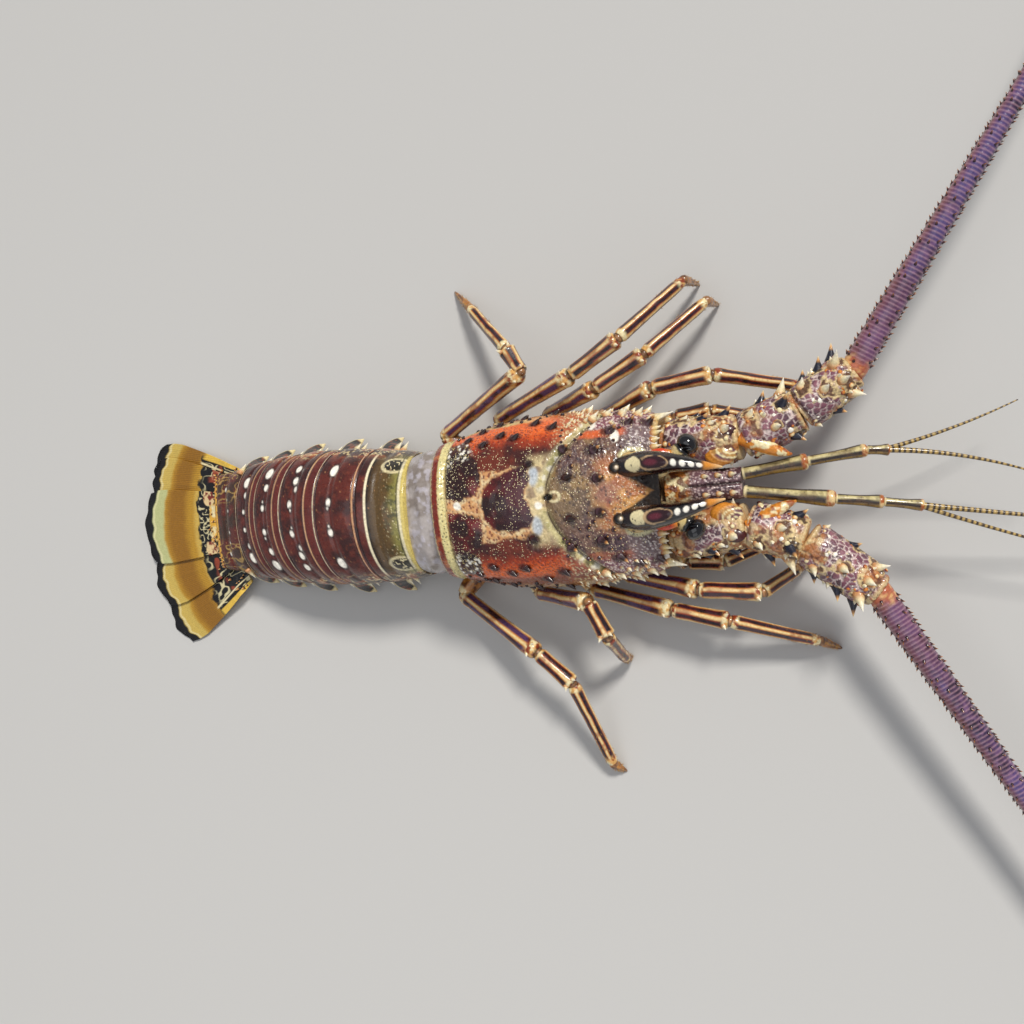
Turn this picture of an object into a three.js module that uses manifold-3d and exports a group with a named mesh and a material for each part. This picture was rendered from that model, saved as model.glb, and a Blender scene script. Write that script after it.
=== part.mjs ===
// Caribbean spiny lobster at life size, lying on the floor with its legs spread.
// Millimetres. +X is towards the head, +Y is the animal's left, +Z is up.
// The origin is on the floor, under the middle of the belly. Points are given by their distance
// ahead of the carapace's rear margin, and place() moves them to the part's origin.
import * as THREE from "three";
import { mergeVertices } from "three/addons/utils/BufferGeometryUtils.js";
import Module from "manifold-3d";

const wasm = await Module();
wasm.setup();

// Driving dimensions
const CARAPACE_LENGTH = 138;
const CARAPACE_HALF_WIDTH = 54.5;
const CARAPACE_TOP = 88;
const CARAPACE_UNDERSIDE = 22;
const ORIGIN_AHEAD = 70;
const GAP = 0.3;
const ANTENNA_LENGTH = 470;
const ANTENNA_RADIUS = 7.2;
const LEG_RADIUS = 5.2;

// Colours
const COLOURS = {
  shell: 0x6b2420,
  belly: 0xd8b98a,
  horn: 0x5a2622,
  eye: 0x0c0c10,
  head: 0x8a5060,
  antenna: 0x5c3d63,
  antennule: 0xa08a50,
  membrane: 0xb9b4a4,
  tail: 0xb48a3a,
  leg: 0xb0784e,
};

function place([x, y, z]) {
  return new THREE.Vector3(x - ORIGIN_AHEAD, y, z);
}

// A smooth value at x through the keys [[x, value], ...].
function along(keys, x) {
  const last = keys.length - 1;
  if (x <= keys[0][0]) return keys[0][1];
  if (x >= keys[last][0]) return keys[last][1];
  const i = keys.findIndex((key) => key[0] > x) - 1;
  const [x0, v0] = keys[i];
  const [x1, v1] = keys[i + 1];
  const before = keys[Math.max(i - 1, 0)];
  const after = keys[Math.min(i + 2, last)];
  const slope0 = (v1 - before[1]) / (x1 - before[0]);
  const slope1 = (after[1] - v0) / (after[0] - x0);
  const t = (x - x0) / (x1 - x0);
  const step = x1 - x0;
  return (
    v0 * (1 + 2 * t) * (1 - t) ** 2 +
    slope0 * step * t * (1 - t) ** 2 +
    v1 * t * t * (3 - 2 * t) +
    slope1 * step * t * t * (t - 1)
  );
}

// Roundness of an arched section, and how fast its sides turn in below the widest level
const SIDE_POWER = 0.9;
const UNDER_REACH = 1.35;

function power(value, exponent) {
  return Math.sign(value) * Math.abs(value) ** exponent;
}

// A closed body through rings of points, with a fan over each end.
function skin(rings) {
  const sides = rings[0].length;
  const points = rings.flat();
  const faces = [];
  for (let i = 0; i + 1 < rings.length; i += 1) {
    for (let j = 0; j < sides; j += 1) {
      const k = (j + 1) % sides;
      const a = i * sides + j;
      const b = i * sides + k;
      const c = (i + 1) * sides + k;
      const d = (i + 1) * sides + j;
      faces.push([a, b, c], [a, c, d]);
    }
  }
  for (const [ring, first, turn] of [
    [rings[0], 0, 1],
    [rings[rings.length - 1], (rings.length - 1) * sides, -1],
  ]) {
    const middle = new THREE.Vector3();
    ring.forEach((point) => middle.addScaledVector(point, 1 / sides));
    const centre = points.push(middle) - 1;
    for (let j = 0; j < sides; j += 1) {
      const k = (j + 1) % sides;
      faces.push(turn > 0 ? [centre, first + k, first + j] : [centre, first + j, first + k]);
    }
  }
  return solidFrom(points, faces);
}

// A manifold solid from points and triangles, turned so that its faces point out.
function solidFrom(points, faces) {
  const geometry = new THREE.BufferGeometry();
  geometry.setAttribute(
    "position",
    new THREE.Float32BufferAttribute(points.flatMap((p) => [p.x, p.y, p.z]), 3),
  );
  let volume = 0;
  for (const [a, b, c] of faces) {
    volume += points[a].dot(new THREE.Vector3().crossVectors(points[b], points[c]));
  }
  geometry.setIndex(faces.flatMap((face) => (volume < 0 ? [...face].reverse() : face)));
  return solidOf(geometry);
}

function solidOf(geometry) {
  const bare = geometry.clone();
  bare.deleteAttribute("normal");
  bare.deleteAttribute("uv");
  const merged = mergeVertices(bare, 1e-4);
  return new wasm.Manifold(
    new wasm.Mesh({
      numProp: 3,
      vertProperties: new Float32Array(merged.attributes.position.array),
      triVerts: new Uint32Array(merged.index.array),
    }),
  );
}

function largest(solid) {
  const pieces = solid.decompose();
  return pieces.reduce((best, piece) => (piece.volume() > best.volume() ? piece : best));
}

function geometryOf(solid) {
  const mesh = largest(solid).getMesh();
  const geometry = new THREE.BufferGeometry();
  geometry.setAttribute("position", new THREE.BufferAttribute(mesh.vertProperties, 3));
  geometry.setIndex(new THREE.BufferAttribute(mesh.triVerts, 1));
  geometry.computeVertexNormals();
  return geometry;
}

function join(solids) {
  return solids.reduce((whole, solid) => whole.add(solid));
}

// A section across the body at x: an arch above its widest level, and a flat underside.
function archRing(x, halfWidth, top, widest, underside, sides, centreY = 0) {
  const ring = [];
  for (let j = 0; j < sides; j += 1) {
    const angle = (2 * Math.PI * (j + 0.5)) / sides;
    const y = halfWidth * power(Math.cos(angle), SIDE_POWER);
    const up = power(Math.sin(angle), SIDE_POWER);
    const reach = up > 0 ? top - widest : (widest - underside) * UNDER_REACH;
    ring.push(place([x, y + centreY, Math.max(widest + reach * up, underside)]));
  }
  return ring;
}

// The rings of a limb along stations {at, wide, high}, each ring square to the path.
function limbRings(stations, sides, firstDirection = null) {
  const points = stations.map((station) => place(station.at));
  return stations.map((station, i) => {
    const ahead = points[Math.min(i + 1, points.length - 1)];
    const behind = points[Math.max(i - 1, 0)];
    const direction = new THREE.Vector3().subVectors(ahead, behind).normalize();
    if (i === 0 && firstDirection) direction.copy(firstDirection).normalize();
    const side = new THREE.Vector3(0, 0, 1).cross(direction).normalize();
    const over = new THREE.Vector3().crossVectors(direction, side);
    const ring = [];
    for (let j = 0; j < sides; j += 1) {
      const angle = (2 * Math.PI * (j + 0.5)) / sides;
      ring.push(
        points[i]
          .clone()
          .addScaledVector(side, station.wide * Math.cos(angle))
          .addScaledVector(over, station.high * Math.sin(angle)),
      );
    }
    ring.direction = direction;
    return ring;
  });
}

// Limb pieces, parted square to the path at the given stations by the gap.
function partedLimb(stations, sides, partings, firstDirection = null) {
  const rings = limbRings(stations, sides, firstDirection);
  const ends = [0, ...partings, rings.length - 1];
  const pieces = [];
  for (let n = 0; n + 1 < ends.length; n += 1) {
    const piece = rings.slice(ends[n], ends[n + 1] + 1).map((ring) => ring.map((p) => p.clone()));
    const shift = (ring, amount, direction) =>
      ring.forEach((point) => point.addScaledVector(direction, amount));
    if (n > 0) shift(piece[0], GAP / 2, rings[ends[n]].direction);
    if (n + 2 < ends.length) {
      shift(piece[piece.length - 1], -GAP / 2, rings[ends[n + 1]].direction);
    }
    pieces.push(skin(piece));
  }
  return pieces;
}

// Carapace, widest amidships and highest over the cervical groove
const REAR_EDGE = -4;
const FRONT_EDGE = CARAPACE_LENGTH + 4;
const CARAPACE_WIDTHS = [
  [REAR_EDGE, 0.79], [0, 0.8], [12, 0.86], [35, 0.95], [60, 1], [90, 1], [115, 0.965],
  [134, 0.9], [FRONT_EDGE, 0.84],
].map(([x, share]) => [x, share * CARAPACE_HALF_WIDTH]);
const CARAPACE_TOPS = [
  [REAR_EDGE, 0.865], [0, 0.88], [12, 0.91], [40, 0.96], [73, 1], [100, 0.995], [120, 0.975],
  [134, 0.93], [FRONT_EDGE, 0.85],
].map(([x, share]) => [x, share * CARAPACE_TOP]);
const CARAPACE_WIDEST = 46;

// Raised rear rim, and the furrow in front of it
const RIM = [[REAR_EDGE, 0], [-2, 0.9], [3, 0.9], [6, -1.2], [9, 0.4], [13, 0]];
// Cervical groove: where it crosses the back, how far and how soon it sweeps forward, its size
const GROOVE = { back: 74, sweep: 46, bend: 0.93, half: 5, depth: 2.4 };
const CARAPACE_RISE = CARAPACE_TOP - CARAPACE_WIDEST;

function grooveDepth(x, y, z) {
  const round = Math.atan2(Math.abs(y) / CARAPACE_HALF_WIDTH, (z - CARAPACE_WIDEST) / CARAPACE_RISE);
  const centre = GROOVE.back + GROOVE.sweep * Math.tanh(GROOVE.bend * round * round);
  const off = Math.abs(x - centre) / GROOVE.half;
  return off < 1 && z > CARAPACE_WIDEST - 6 ? GROOVE.depth * (1 - off * off) : 0;
}

function carapaceSolid(grow, grooved = false) {
  const stations = 32;
  const rings = [];
  for (let i = 0; i <= stations; i += 1) {
    const x = REAR_EDGE + ((FRONT_EDGE - REAR_EDGE) * i) / stations;
    const reach = i === 0 ? x - grow : i === stations ? x + grow : x;
    const rise = grow + along(RIM, x);
    const ring = archRing(
      reach,
      along(CARAPACE_WIDTHS, x) + rise,
      along(CARAPACE_TOPS, x) + rise,
      CARAPACE_WIDEST,
      CARAPACE_UNDERSIDE - grow,
      26,
    );
    if (grooved) {
      for (const point of ring) {
        const share = 1 - grooveDepth(x, point.y, point.z) / CARAPACE_HALF_WIDTH;
        point.y *= share;
        point.z = CARAPACE_WIDEST + (point.z - CARAPACE_WIDEST) * share;
      }
    }
    rings.push(ring);
  }
  return skin(rings);
}

// A point on the carapace at distance x ahead, the given angle round from the top of the back
function onCarapace(x, round) {
  const angle = Math.PI / 2 - THREE.MathUtils.degToRad(round);
  const y = along(CARAPACE_WIDTHS, x) * power(Math.cos(angle), SIDE_POWER);
  const rise = power(Math.sin(angle), SIDE_POWER) * (along(CARAPACE_TOPS, x) - CARAPACE_WIDEST);
  const outward = new THREE.Vector3(0, Math.cos(angle), Math.sin(angle));
  return { at: new THREE.Vector3(x, y, CARAPACE_WIDEST + rise), outward };
}

const SPINE_SUNK = 1.2;
const SPINE_FOOT = 1.2;
const SPINE_SIDES = 5;
const SPINE_LEAN = 0.9;

// A spine of five sides from its root, sunk into the shell, to its tip
function spineSolid(at, direction, length, radius) {
  const tip = at.clone().addScaledVector(direction, length);
  const root = at.clone().addScaledVector(direction, -SPINE_SUNK * radius);
  const across = new THREE.Vector3(0.3, 0.2, 1).cross(direction).normalize();
  const over = new THREE.Vector3().crossVectors(direction, across);
  const points = [place(tip.toArray())];
  const faces = [];
  for (let j = 0; j < SPINE_SIDES; j += 1) {
    const angle = (2 * Math.PI * j) / SPINE_SIDES;
    const point = place(root.toArray());
    point.addScaledVector(across, SPINE_FOOT * radius * Math.cos(angle));
    point.addScaledVector(over, SPINE_FOOT * radius * Math.sin(angle));
    points.push(point);
    faces.push([0, j + 1, ((j + 1) % SPINE_SIDES) + 1]);
    if (j > 1) faces.push([1, j + 1, j]);
  }
  return solidFrom(points, faces);
}

// Spines and tubercles of one side: distance ahead, angle round from the top, length and radius
const CARAPACE_SPINES = [
  [16, 14, 2.4, 2.6], [17, 34, 2.4, 2.6], [22, 58, 2.6, 2.6], [31, 66, 2.6, 2.6], [34, 46, 2.8, 2.8],
  [42, 72, 2.6, 2.6], [46, 52, 3, 2.8], [56, 46, 3.4, 3], [58, 76, 2.8, 2.6], [68, 60, 3.2, 2.8],
  [66, 22, 3.6, 2.8], [80, 52, 4, 2.8], [78, 78, 3.2, 2.6], [90, 11, 5, 2.8], [88, 31, 6, 3.2],
  [108, 9, 6, 3], [107, 28, 6.5, 3.3], [116, 44, 7, 3.2], [104, 60, 5, 2.6], [112, 66, 5, 2.4],
  [121, 68, 5.5, 2.4], [130, 70, 6, 2.4], [126, 54, 7, 2.8], [137, 56, 8, 3], [98, 84, 4.5, 2.4],
  [120, 88, 5, 2.4], [133, 90, 5.5, 2.4],
];
function spinedCarapace() {
  const spines = [];
  for (const side of [1, -1]) {
    for (const [x, round, length, radius] of CARAPACE_SPINES) {
      const { at, outward } = onCarapace(x, side * round);
      const lean = new THREE.Vector3(SPINE_LEAN, 0, 0).add(outward).normalize();
      spines.push(spineSolid(at.addScaledVector(outward, -0.4), lean, length, radius));
    }
    const corner = new THREE.Vector3(FRONT_EDGE - 5, side * 43, 56);
    spines.push(spineSolid(corner, new THREE.Vector3(0.96, side * 0.22, 0.15).normalize(), 15, 3.6));
  }
  return join([carapaceSolid(0, true), ...spines]);
}

// Sternum, a flat shield that narrows forward and rests on the floor
const STERNUM_REAR = 4;
const STERNUM_FRONT = 112;
const STERNUM_WIDTHS = [[STERNUM_REAR, 29], [20, 32], [60, 26], [90, 18], [STERNUM_FRONT, 9]];

function sternumSolid(grow) {
  const outline = [];
  for (let i = 0; i <= 8; i += 1) {
    const x = STERNUM_REAR + ((STERNUM_FRONT - STERNUM_REAR) * i) / 8;
    const reach = i === 0 ? x - grow : i === 8 ? x + grow : x;
    outline.push([reach - ORIGIN_AHEAD, along(STERNUM_WIDTHS, x) + grow]);
  }
  const shape = new THREE.Shape([
    ...outline.map(([x, y]) => new THREE.Vector2(x, -y)),
    ...outline.reverse().map(([x, y]) => new THREE.Vector2(x, y)),
  ]);
  const geometry = new THREE.ExtrudeGeometry(shape, {
    depth: CARAPACE_UNDERSIDE - GAP + 2 * grow,
    bevelEnabled: false,
  });
  geometry.translate(0, 0, -grow);
  return solidOf(geometry);
}

// Horns over the eyes: root, bend and tip, with their half width and half height
function hornSolid(side) {
  const stations = [
    { at: [122, side * 15, 78], wide: 7, high: 8 },
    { at: [134, side * 15.5, 84], wide: 7.5, high: 9 },
    { at: [146, side * 15, 91], wide: 6.5, high: 8 },
    { at: [157, side * 13.5, 95.5], wide: 4.8, high: 6 },
    { at: [169, side * 11, 95], wide: 3, high: 3.6 },
    { at: [181, side * 9, 90.5], wide: 0.6, high: 0.7 },
  ];
  return skin(limbRings(stations, 10)).subtract(carapaceSolid(GAP));
}

// Eyes: a stalk from the middle of the brow and a rounded cornea
function eyeSolid(side) {
  const stations = [
    { at: [136, side * 9, 70], wide: 4, high: 4 },
    { at: [148, side * 15, 70.5], wide: 4.2, high: 4.2 },
    { at: [154, side * 19.5, 70.5], wide: 5.4, high: 5.4 },
    { at: [157, side * 22.5, 70.5], wide: 6.6, high: 6.6 },
    { at: [159.5, side * 25, 70.5], wide: 6.8, high: 6.8 },
    { at: [161.8, side * 27.4, 70.5], wide: 5.6, high: 5.6 },
    { at: [163.6, side * 29.2, 70.5], wide: 3.2, high: 3.2 },
    { at: [164.3, side * 30, 70.5], wide: 1, high: 1 },
  ];
  return skin(limbRings(stations, 12)).subtract(carapaceSolid(GAP));
}

// Antennular plate, between the bases of the antennae
const PLATE_FRONT = 187;

function plateSolid() {
  const rings = [];
  const keys = [[FRONT_EDGE, 62], [160, 61], [176, 60], [PLATE_FRONT, 57]];
  for (let i = 0; i <= 6; i += 1) {
    const x = FRONT_EDGE + GAP + ((PLATE_FRONT - FRONT_EDGE - GAP) * i) / 6;
    rings.push(archRing(x, 11 - i * 0.3, along(keys, x), 48, 26 + i * 1.5, 12));
  }
  return skin(rings);
}

// Antennae: three heavy articles, then a long stiff flagellum in three lengths.
// Each is set by its joints, and by the heading and pitch of its flagellum in degrees.
const ANTENNAE = {
  left: {
    side: 1,
    joints: [[FRONT_EDGE + GAP, 28.5, 42], [189, 26.5, 48], [223.5, 38.7, 51], [254.4, 57.7, 53]],
    heading: [54.6, 70],
    pitch: [5, -13],
  },
  right: {
    side: -1,
    joints: [[FRONT_EDGE + GAP, -28.5, 42], [188, -25, 48], [220, -36.9, 50], [257.3, -70, 46]],
    heading: [-61, -78],
    pitch: [-2, -6],
  },
};
const ARTICLE_WIDE = [14.5, 14, 13];
const ARTICLE_HIGH = [17, 14.5, 12.5];
const ARTICLE_SIDES = 12;
const FLAGELLUM_SIDES = 8;
const FLAGELLUM_STEPS = 36;
// The share of a flagellum that runs straight before it bends
const STRAIGHT_SHARE = 2 / 7;

function articleStations(antenna) {
  const stations = [];
  antenna.joints.slice(0, 3).forEach((start, n) => {
    const end = antenna.joints[n + 1];
    for (const [share, swell] of [[0, 0.84], [0.14, 1], [0.5, 1.02], [0.86, 0.98]]) {
      stations.push({
        at: start.map((value, axis) => value + (end[axis] - value) * share),
        wide: ARTICLE_WIDE[n] * swell,
        high: ARTICLE_HIGH[n] * swell,
      });
    }
  });
  stations.push({ at: antenna.joints[3], wide: 9.5, high: 9 });
  return stations;
}

function flagellumStations(antenna) {
  const step = ANTENNA_LENGTH / FLAGELLUM_STEPS;
  const at = [...antenna.joints[3]];
  const stations = [];
  for (let i = 0; i <= FLAGELLUM_STEPS; i += 1) {
    const share = i / FLAGELLUM_STEPS;
    const radius = ANTENNA_RADIUS * (1 - share) ** 1.1 + 0.5;
    stations.push({ at: [...at], wide: radius, high: radius * 0.9 });
    const turned = Math.max(0, (share - STRAIGHT_SHARE) / (1 - STRAIGHT_SHARE));
    const turn = THREE.MathUtils.degToRad(THREE.MathUtils.lerp(...antenna.heading, turned));
    const lift = THREE.MathUtils.degToRad(THREE.MathUtils.lerp(...antenna.pitch, share));
    at[0] += step * Math.cos(turn) * Math.cos(lift);
    at[1] += step * Math.sin(turn) * Math.cos(lift);
    at[2] += step * Math.sin(lift);
  }
  return stations;
}

// Spines on an article: share of its length, angle round from the top towards the outer side
const ARTICLE_SPINES = [
  [[0.25, 5, 5, 2.8], [0.55, 60, 6, 3], [0.8, 15, 7, 3], [0.8, 75, 8, 3], [0.5, -40, 4, 2.5],
    [0.85, -45, 6, 2.8]],
  [[0.3, 40, 6, 2.6], [0.5, 85, 8, 3], [0.6, -15, 6, 2.6], [0.84, 30, 9, 3], [0.84, 80, 10, 3.2],
    [0.8, -70, 7, 2.8], [0.35, -80, 5, 2.5], [0.7, 120, 7, 2.8]],
  [[0.25, 50, 6, 2.6], [0.3, 95, 7, 2.8], [0.5, 0, 6, 2.6], [0.6, 70, 8, 2.8], [0.84, 40, 10, 3],
    [0.84, 95, 10, 3], [0.8, -60, 8, 2.8], [0.45, -85, 6, 2.6], [0.8, -10, 7, 2.6]],
];

function limbPoint(start, end, share, wide, high, round, side) {
  const axis = new THREE.Vector3(...end).sub(new THREE.Vector3(...start));
  const at = new THREE.Vector3(...start).addScaledVector(axis, share);
  const direction = axis.normalize();
  const across = new THREE.Vector3(0, 0, 1).cross(direction).normalize().multiplyScalar(side);
  const over = new THREE.Vector3().crossVectors(direction, across).multiplyScalar(side);
  const angle = THREE.MathUtils.degToRad(round);
  const outward = across.multiplyScalar(wide * Math.sin(angle));
  outward.addScaledVector(over, high * Math.cos(angle));
  at.add(outward);
  return { at, outward: outward.normalize(), direction };
}

function articleSpines(antenna, n) {
  const [start, end] = [antenna.joints[n], antenna.joints[n + 1]];
  return ARTICLE_SPINES[n].map(([share, round, length, radius]) => {
    const wide = ARTICLE_WIDE[n] * 0.97;
    const high = ARTICLE_HIGH[n] * 0.97;
    const { at, outward, direction } = limbPoint(start, end, share, wide, high, round, antenna.side);
    const lean = direction.multiplyScalar(0.75).add(outward).normalize();
    return spineSolid(at, lean, length, radius);
  });
}

// Two rows of small spines along the first length of a flagellum
function flagellumSpines(antenna, from, to) {
  const stations = flagellumStations(antenna);
  const spines = [];
  for (let i = from; i < to; i += 1) {
    for (const row of [75, -75]) {
      const [start, end] = [stations[i].at, stations[i + 1].at];
      const { at, outward, direction } = limbPoint(
        start, end, 0.5, stations[i].wide * 0.92, stations[i].high * 0.92, row, antenna.side,
      );
      const lean = direction.multiplyScalar(0.8).add(outward).normalize();
      spines.push(spineSolid(at, lean, 3.2, 1.1));
    }
  }
  return spines;
}

function antennaPieces(antenna) {
  const ahead = new THREE.Vector3(1, 0, 0);
  const stations = articleStations(antenna);
  const smoothArticles = partedLimb(stations, ARTICLE_SIDES, [4, 8], ahead);
  const articles = smoothArticles.map((solid, n) => join([solid, ...articleSpines(antenna, n)]));
  const start = new THREE.Vector3(...antenna.joints[3]).sub(new THREE.Vector3(...antenna.joints[2]));
  const lengths = partedLimb(flagellumStations(antenna), FLAGELLUM_SIDES, [12, 24], start);
  const lastArticle = skin(limbRings(stations, ARTICLE_SIDES, ahead).slice(8));
  const clearance = start.clone().normalize().multiplyScalar(GAP).toArray();
  const rooted = lengths[0].subtract(lastArticle.translate(clearance));
  const first = join([rooted, ...flagellumSpines(antenna, 1, 11)]);
  const second = join([lengths[1], ...flagellumSpines(antenna, 12, 23)]);
  return { articles, lengths: [first, second, lengths[2]] };
}

// Antennules: a slim jointed stalk that ends in two whips
const ANTENNULES = {
  left: {
    joints: [[PLATE_FRONT + GAP, 5.2, 50], [225, 8.9, 48], [258, 12, 45], [270, 11, 42]],
    whips: [{ heading: [-6, -26], length: 92 }, { heading: [10, 22], length: 78 }],
  },
  right: {
    joints: [[PLATE_FRONT + GAP, -5.2, 50], [238.6, -14.5, 50], [264.4, -18.5, 48], [285.4, -22.5, 45]],
    whips: [{ heading: [-11, -11], length: 125 }, { heading: [-24, -20], length: 108 }],
  },
};
const ANTENNULE_RADII = [4.3, 3.4, 3, 2.4];
const WHIP_RADII = [1.5, 1.1];
const WHIP_FALL = -9;

function antennuleStations(antennule) {
  const stations = [];
  antennule.joints.slice(0, 3).forEach((start, n) => {
    const end = antennule.joints[n + 1];
    for (const [share, swell] of [[0, 0.85], [0.25, 0.9], [0.85, 1.12]]) {
      const radius = ANTENNULE_RADII[n] * swell;
      const at = start.map((value, axis) => value + (end[axis] - value) * share);
      stations.push({ at, wide: radius, high: radius });
    }
  });
  stations.push({ at: antennule.joints[3], wide: ANTENNULE_RADII[3], high: ANTENNULE_RADII[3] });
  return stations;
}

function whipSolid(start, whip, radius) {
  const steps = 8;
  const at = [...start];
  const stations = [];
  for (let i = 0; i <= steps; i += 1) {
    const share = i / steps;
    const thick = radius * (1 - share) + 0.35;
    stations.push({ at: [...at], wide: thick, high: thick });
    const turn = THREE.MathUtils.degToRad(THREE.MathUtils.lerp(...whip.heading, share));
    const fall = THREE.MathUtils.degToRad(WHIP_FALL);
    const step = whip.length / steps;
    at[0] += step * Math.cos(turn) * Math.cos(fall);
    at[1] += step * Math.sin(turn) * Math.cos(fall);
    at[2] += step * Math.sin(fall);
  }
  return skin(limbRings(stations, 6));
}

function antennuleSolid(antennule) {
  const ahead = new THREE.Vector3(1, 0, 0);
  const stalk = skin(limbRings(antennuleStations(antennule), 8, ahead));
  const end = antennule.joints[3];
  const back = new THREE.Vector3(...end).sub(new THREE.Vector3(...antennule.joints[2])).normalize();
  const root = end.map((value, axis) => value - back.getComponent(axis) * 4);
  const whips = antennule.whips.map((whip, n) => whipSolid(root, whip, WHIP_RADII[n]));
  return join([stalk, ...whips]);
}

// Third maxillipeds and the mandibles, under the head
function maxillipedSolid(side) {
  const stations = [
    { at: [STERNUM_FRONT + GAP, side * 5, 12], wide: 3.6, high: 4.5 },
    { at: [126, side * 9.5, 12], wide: 4.2, high: 4.6 },
    { at: [146, side * 10, 14], wide: 4, high: 4.2 },
    { at: [160, side * 8.5, 15], wide: 3.4, high: 3.6 },
    { at: [170, side * 6, 13], wide: 2, high: 2.2 },
  ];
  return skin(limbRings(stations, 8, new THREE.Vector3(1, 0, 0)));
}

// Membrane between the carapace and the tail
const WAIST_REAR = -26;

function waistSolid() {
  const rings = [];
  for (let i = 0; i <= 5; i += 1) {
    const share = i / 5;
    const x = REAR_EDGE - GAP + (WAIST_REAR + GAP - REAR_EDGE + GAP) * share;
    const bulge = Math.sin(Math.PI * share);
    rings.push(archRing(x, 38.5 + 2.5 * bulge, 69.5 + 2 * bulge - 2 * share, 42, 18, 24));
  }
  return skin(rings);
}

// Tail rings: where each tergite begins, its height and its half width there
const TERGITES = [
  { front: WAIST_REAR, top: 71, half: 41.5 },
  { front: -65, top: 69.5, half: 45.5 },
  { front: -97, top: 64.5, half: 46.5 },
  { front: -129, top: 56, half: 45 },
  { front: -155, top: 46, half: 42 },
  { front: -178, top: 34, half: 38.5 },
];
const TAIL_END = { front: -205, top: 20, half: 33 };
const TAIL_UNDERSIDE = 11;
const TAIL_DRIFT = 0.049;

// The tail lies a little towards the animal's left.
function tailMiddle(x) {
  return Math.max(0, WAIST_REAR - x) * TAIL_DRIFT;
}

// How a tergite swells along its length: front edge, cross groove and raised rear margin
const TERGITE_SWELL = [[0, 0.2], [0.14, 1], [0.4, 1.5], [0.52, 0.5], [0.62, 1.5], [0.93, 2], [1, 1.1]];

function tergiteSolid(n, grow = 0) {
  const from = TERGITES[n];
  const to = TERGITES[n + 1] ?? TAIL_END;
  const rings = [];
  for (const [share, bump] of TERGITE_SWELL) {
    const start = n === 0 ? from.front : from.front - GAP;
    const x = start + grow + (to.front - start - 2 * grow) * share;
    const swell = bump + grow;
    const top = from.top + (to.top - from.top) * share + swell;
    const half = from.half + (to.half - from.half) * share + swell;
    const widest = Math.max(top * 0.42, TAIL_UNDERSIDE + 5);
    rings.push(archRing(x, half, top, widest, TAIL_UNDERSIDE - grow, 22, tailMiddle(x)));
  }
  if (grow > 0) return skin(rings);
  const sides = [1, -1];
  const flaps = n < 5 ? sides.map((side) => flapSolid(side, from, to)) : [];
  const swimmerets = n > 0 && n < 5 ? sides.map((side) => swimmeretSolid(side, from, to)) : [];
  return join([skin(rings), ...flaps, ...swimmerets]);
}

// The pointed flap that each tail ring carries low on its side, turned down, out and forward
function flapSolid(side, from, to) {
  const rear = to.front + 5;
  const half = to.half + tailMiddle(rear) * side;
  const level = TAIL_UNDERSIDE + 9;
  const stations = [
    { at: [rear + 5, side * (half - 8), level + 8], wide: 8, high: 4 },
    { at: [rear + 4, side * (half + 1), level], wide: 7.5, high: 2.6 },
    { at: [rear + 5, side * (half + 5.5), level - 8], wide: 4.4, high: 1.8 },
    { at: [rear + 8, side * (half + 9), level - 15], wide: 0.6, high: 0.6 },
  ];
  return skin(limbRings(stations, 6));
}

// A leaf that hangs under the tail
function swimmeretSolid(side, from, to) {
  const middle = (from.front + to.front) / 2;
  const y = tailMiddle(middle) + side * 20;
  const stations = [
    { at: [middle + 4, y, TAIL_UNDERSIDE + 2], wide: 4, high: 2 },
    { at: [middle - 4, y + side * 4, 7.5], wide: 6, high: 0.9 },
    { at: [middle - 15, y + side * 7, 4.5], wide: 5, high: 0.7 },
    { at: [middle - 21, y + side * 8, 3.5], wide: 1.5, high: 0.5 },
  ];
  return skin(limbRings(stations, 6));
}

// Tail fan: blades in three layers that all follow one slope down to the floor
const FAN_ROOT = -205;
const BLADES = {
  telson: { root: [FAN_ROOT - GAP, 8.8], heading: 179, length: 77.5, start: 22, end: 29, layer: 2 },
  uropod_inner_left: { root: [-200, 34], heading: 171, length: 75, start: 9, end: 20.5, layer: 1 },
  uropod_inner_right: { root: [-200, -17], heading: 193.5, length: 80, start: 9, end: 20.5, layer: 1 },
  uropod_outer_left: { root: [-188, 40], heading: 168, length: 87, start: 7, end: 20.5, layer: 0 },
  uropod_outer_right: { root: [-188, -32], heading: 204.5, length: 86, start: 7, end: 21, layer: 0 },
};
const BLADE_THICK = 1.7;
const BLADE_PITCH = BLADE_THICK + 0.6;
// The fan's slope: where it meets the floor, how far it runs and how high it rises
const FAN_FOOT = -255;
const FAN_RUN = 58;
const FAN_RISE = 9;

function fanSlope(x) {
  const share = THREE.MathUtils.clamp((x - FAN_FOOT) / FAN_RUN, 0, 1);
  return FAN_RISE * share * share;
}

function bladeSolid(name) {
  const blade = BLADES[name];
  const turn = THREE.MathUtils.degToRad(blade.heading);
  const lengthSteps = 7;
  const widthSteps = 6;
  const top = [];
  for (let i = 0; i <= lengthSteps; i += 1) {
    for (let j = 0; j <= widthSteps; j += 1) {
      const u = i / lengthSteps;
      const v = (2 * j) / widthSteps - 1;
      const round = 1 - 0.1 * v * v;
      const reach = blade.length * u * round;
      const half = (blade.start + (blade.end - blade.start) * Math.min(1, u * 1.25) ** 0.8) * v;
      const x = blade.root[0] + reach * Math.cos(turn) - half * Math.sin(turn);
      const y = blade.root[1] + reach * Math.sin(turn) + half * Math.cos(turn);
      top.push(place([x, y, fanSlope(x) + blade.layer * BLADE_PITCH + BLADE_THICK]));
    }
  }
  const bottom = top.map((point) => point.clone().setZ(point.z - BLADE_THICK));
  return plateFromGrid(top, bottom, lengthSteps, widthSteps).subtract(tergiteSolid(5, GAP));
}

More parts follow.
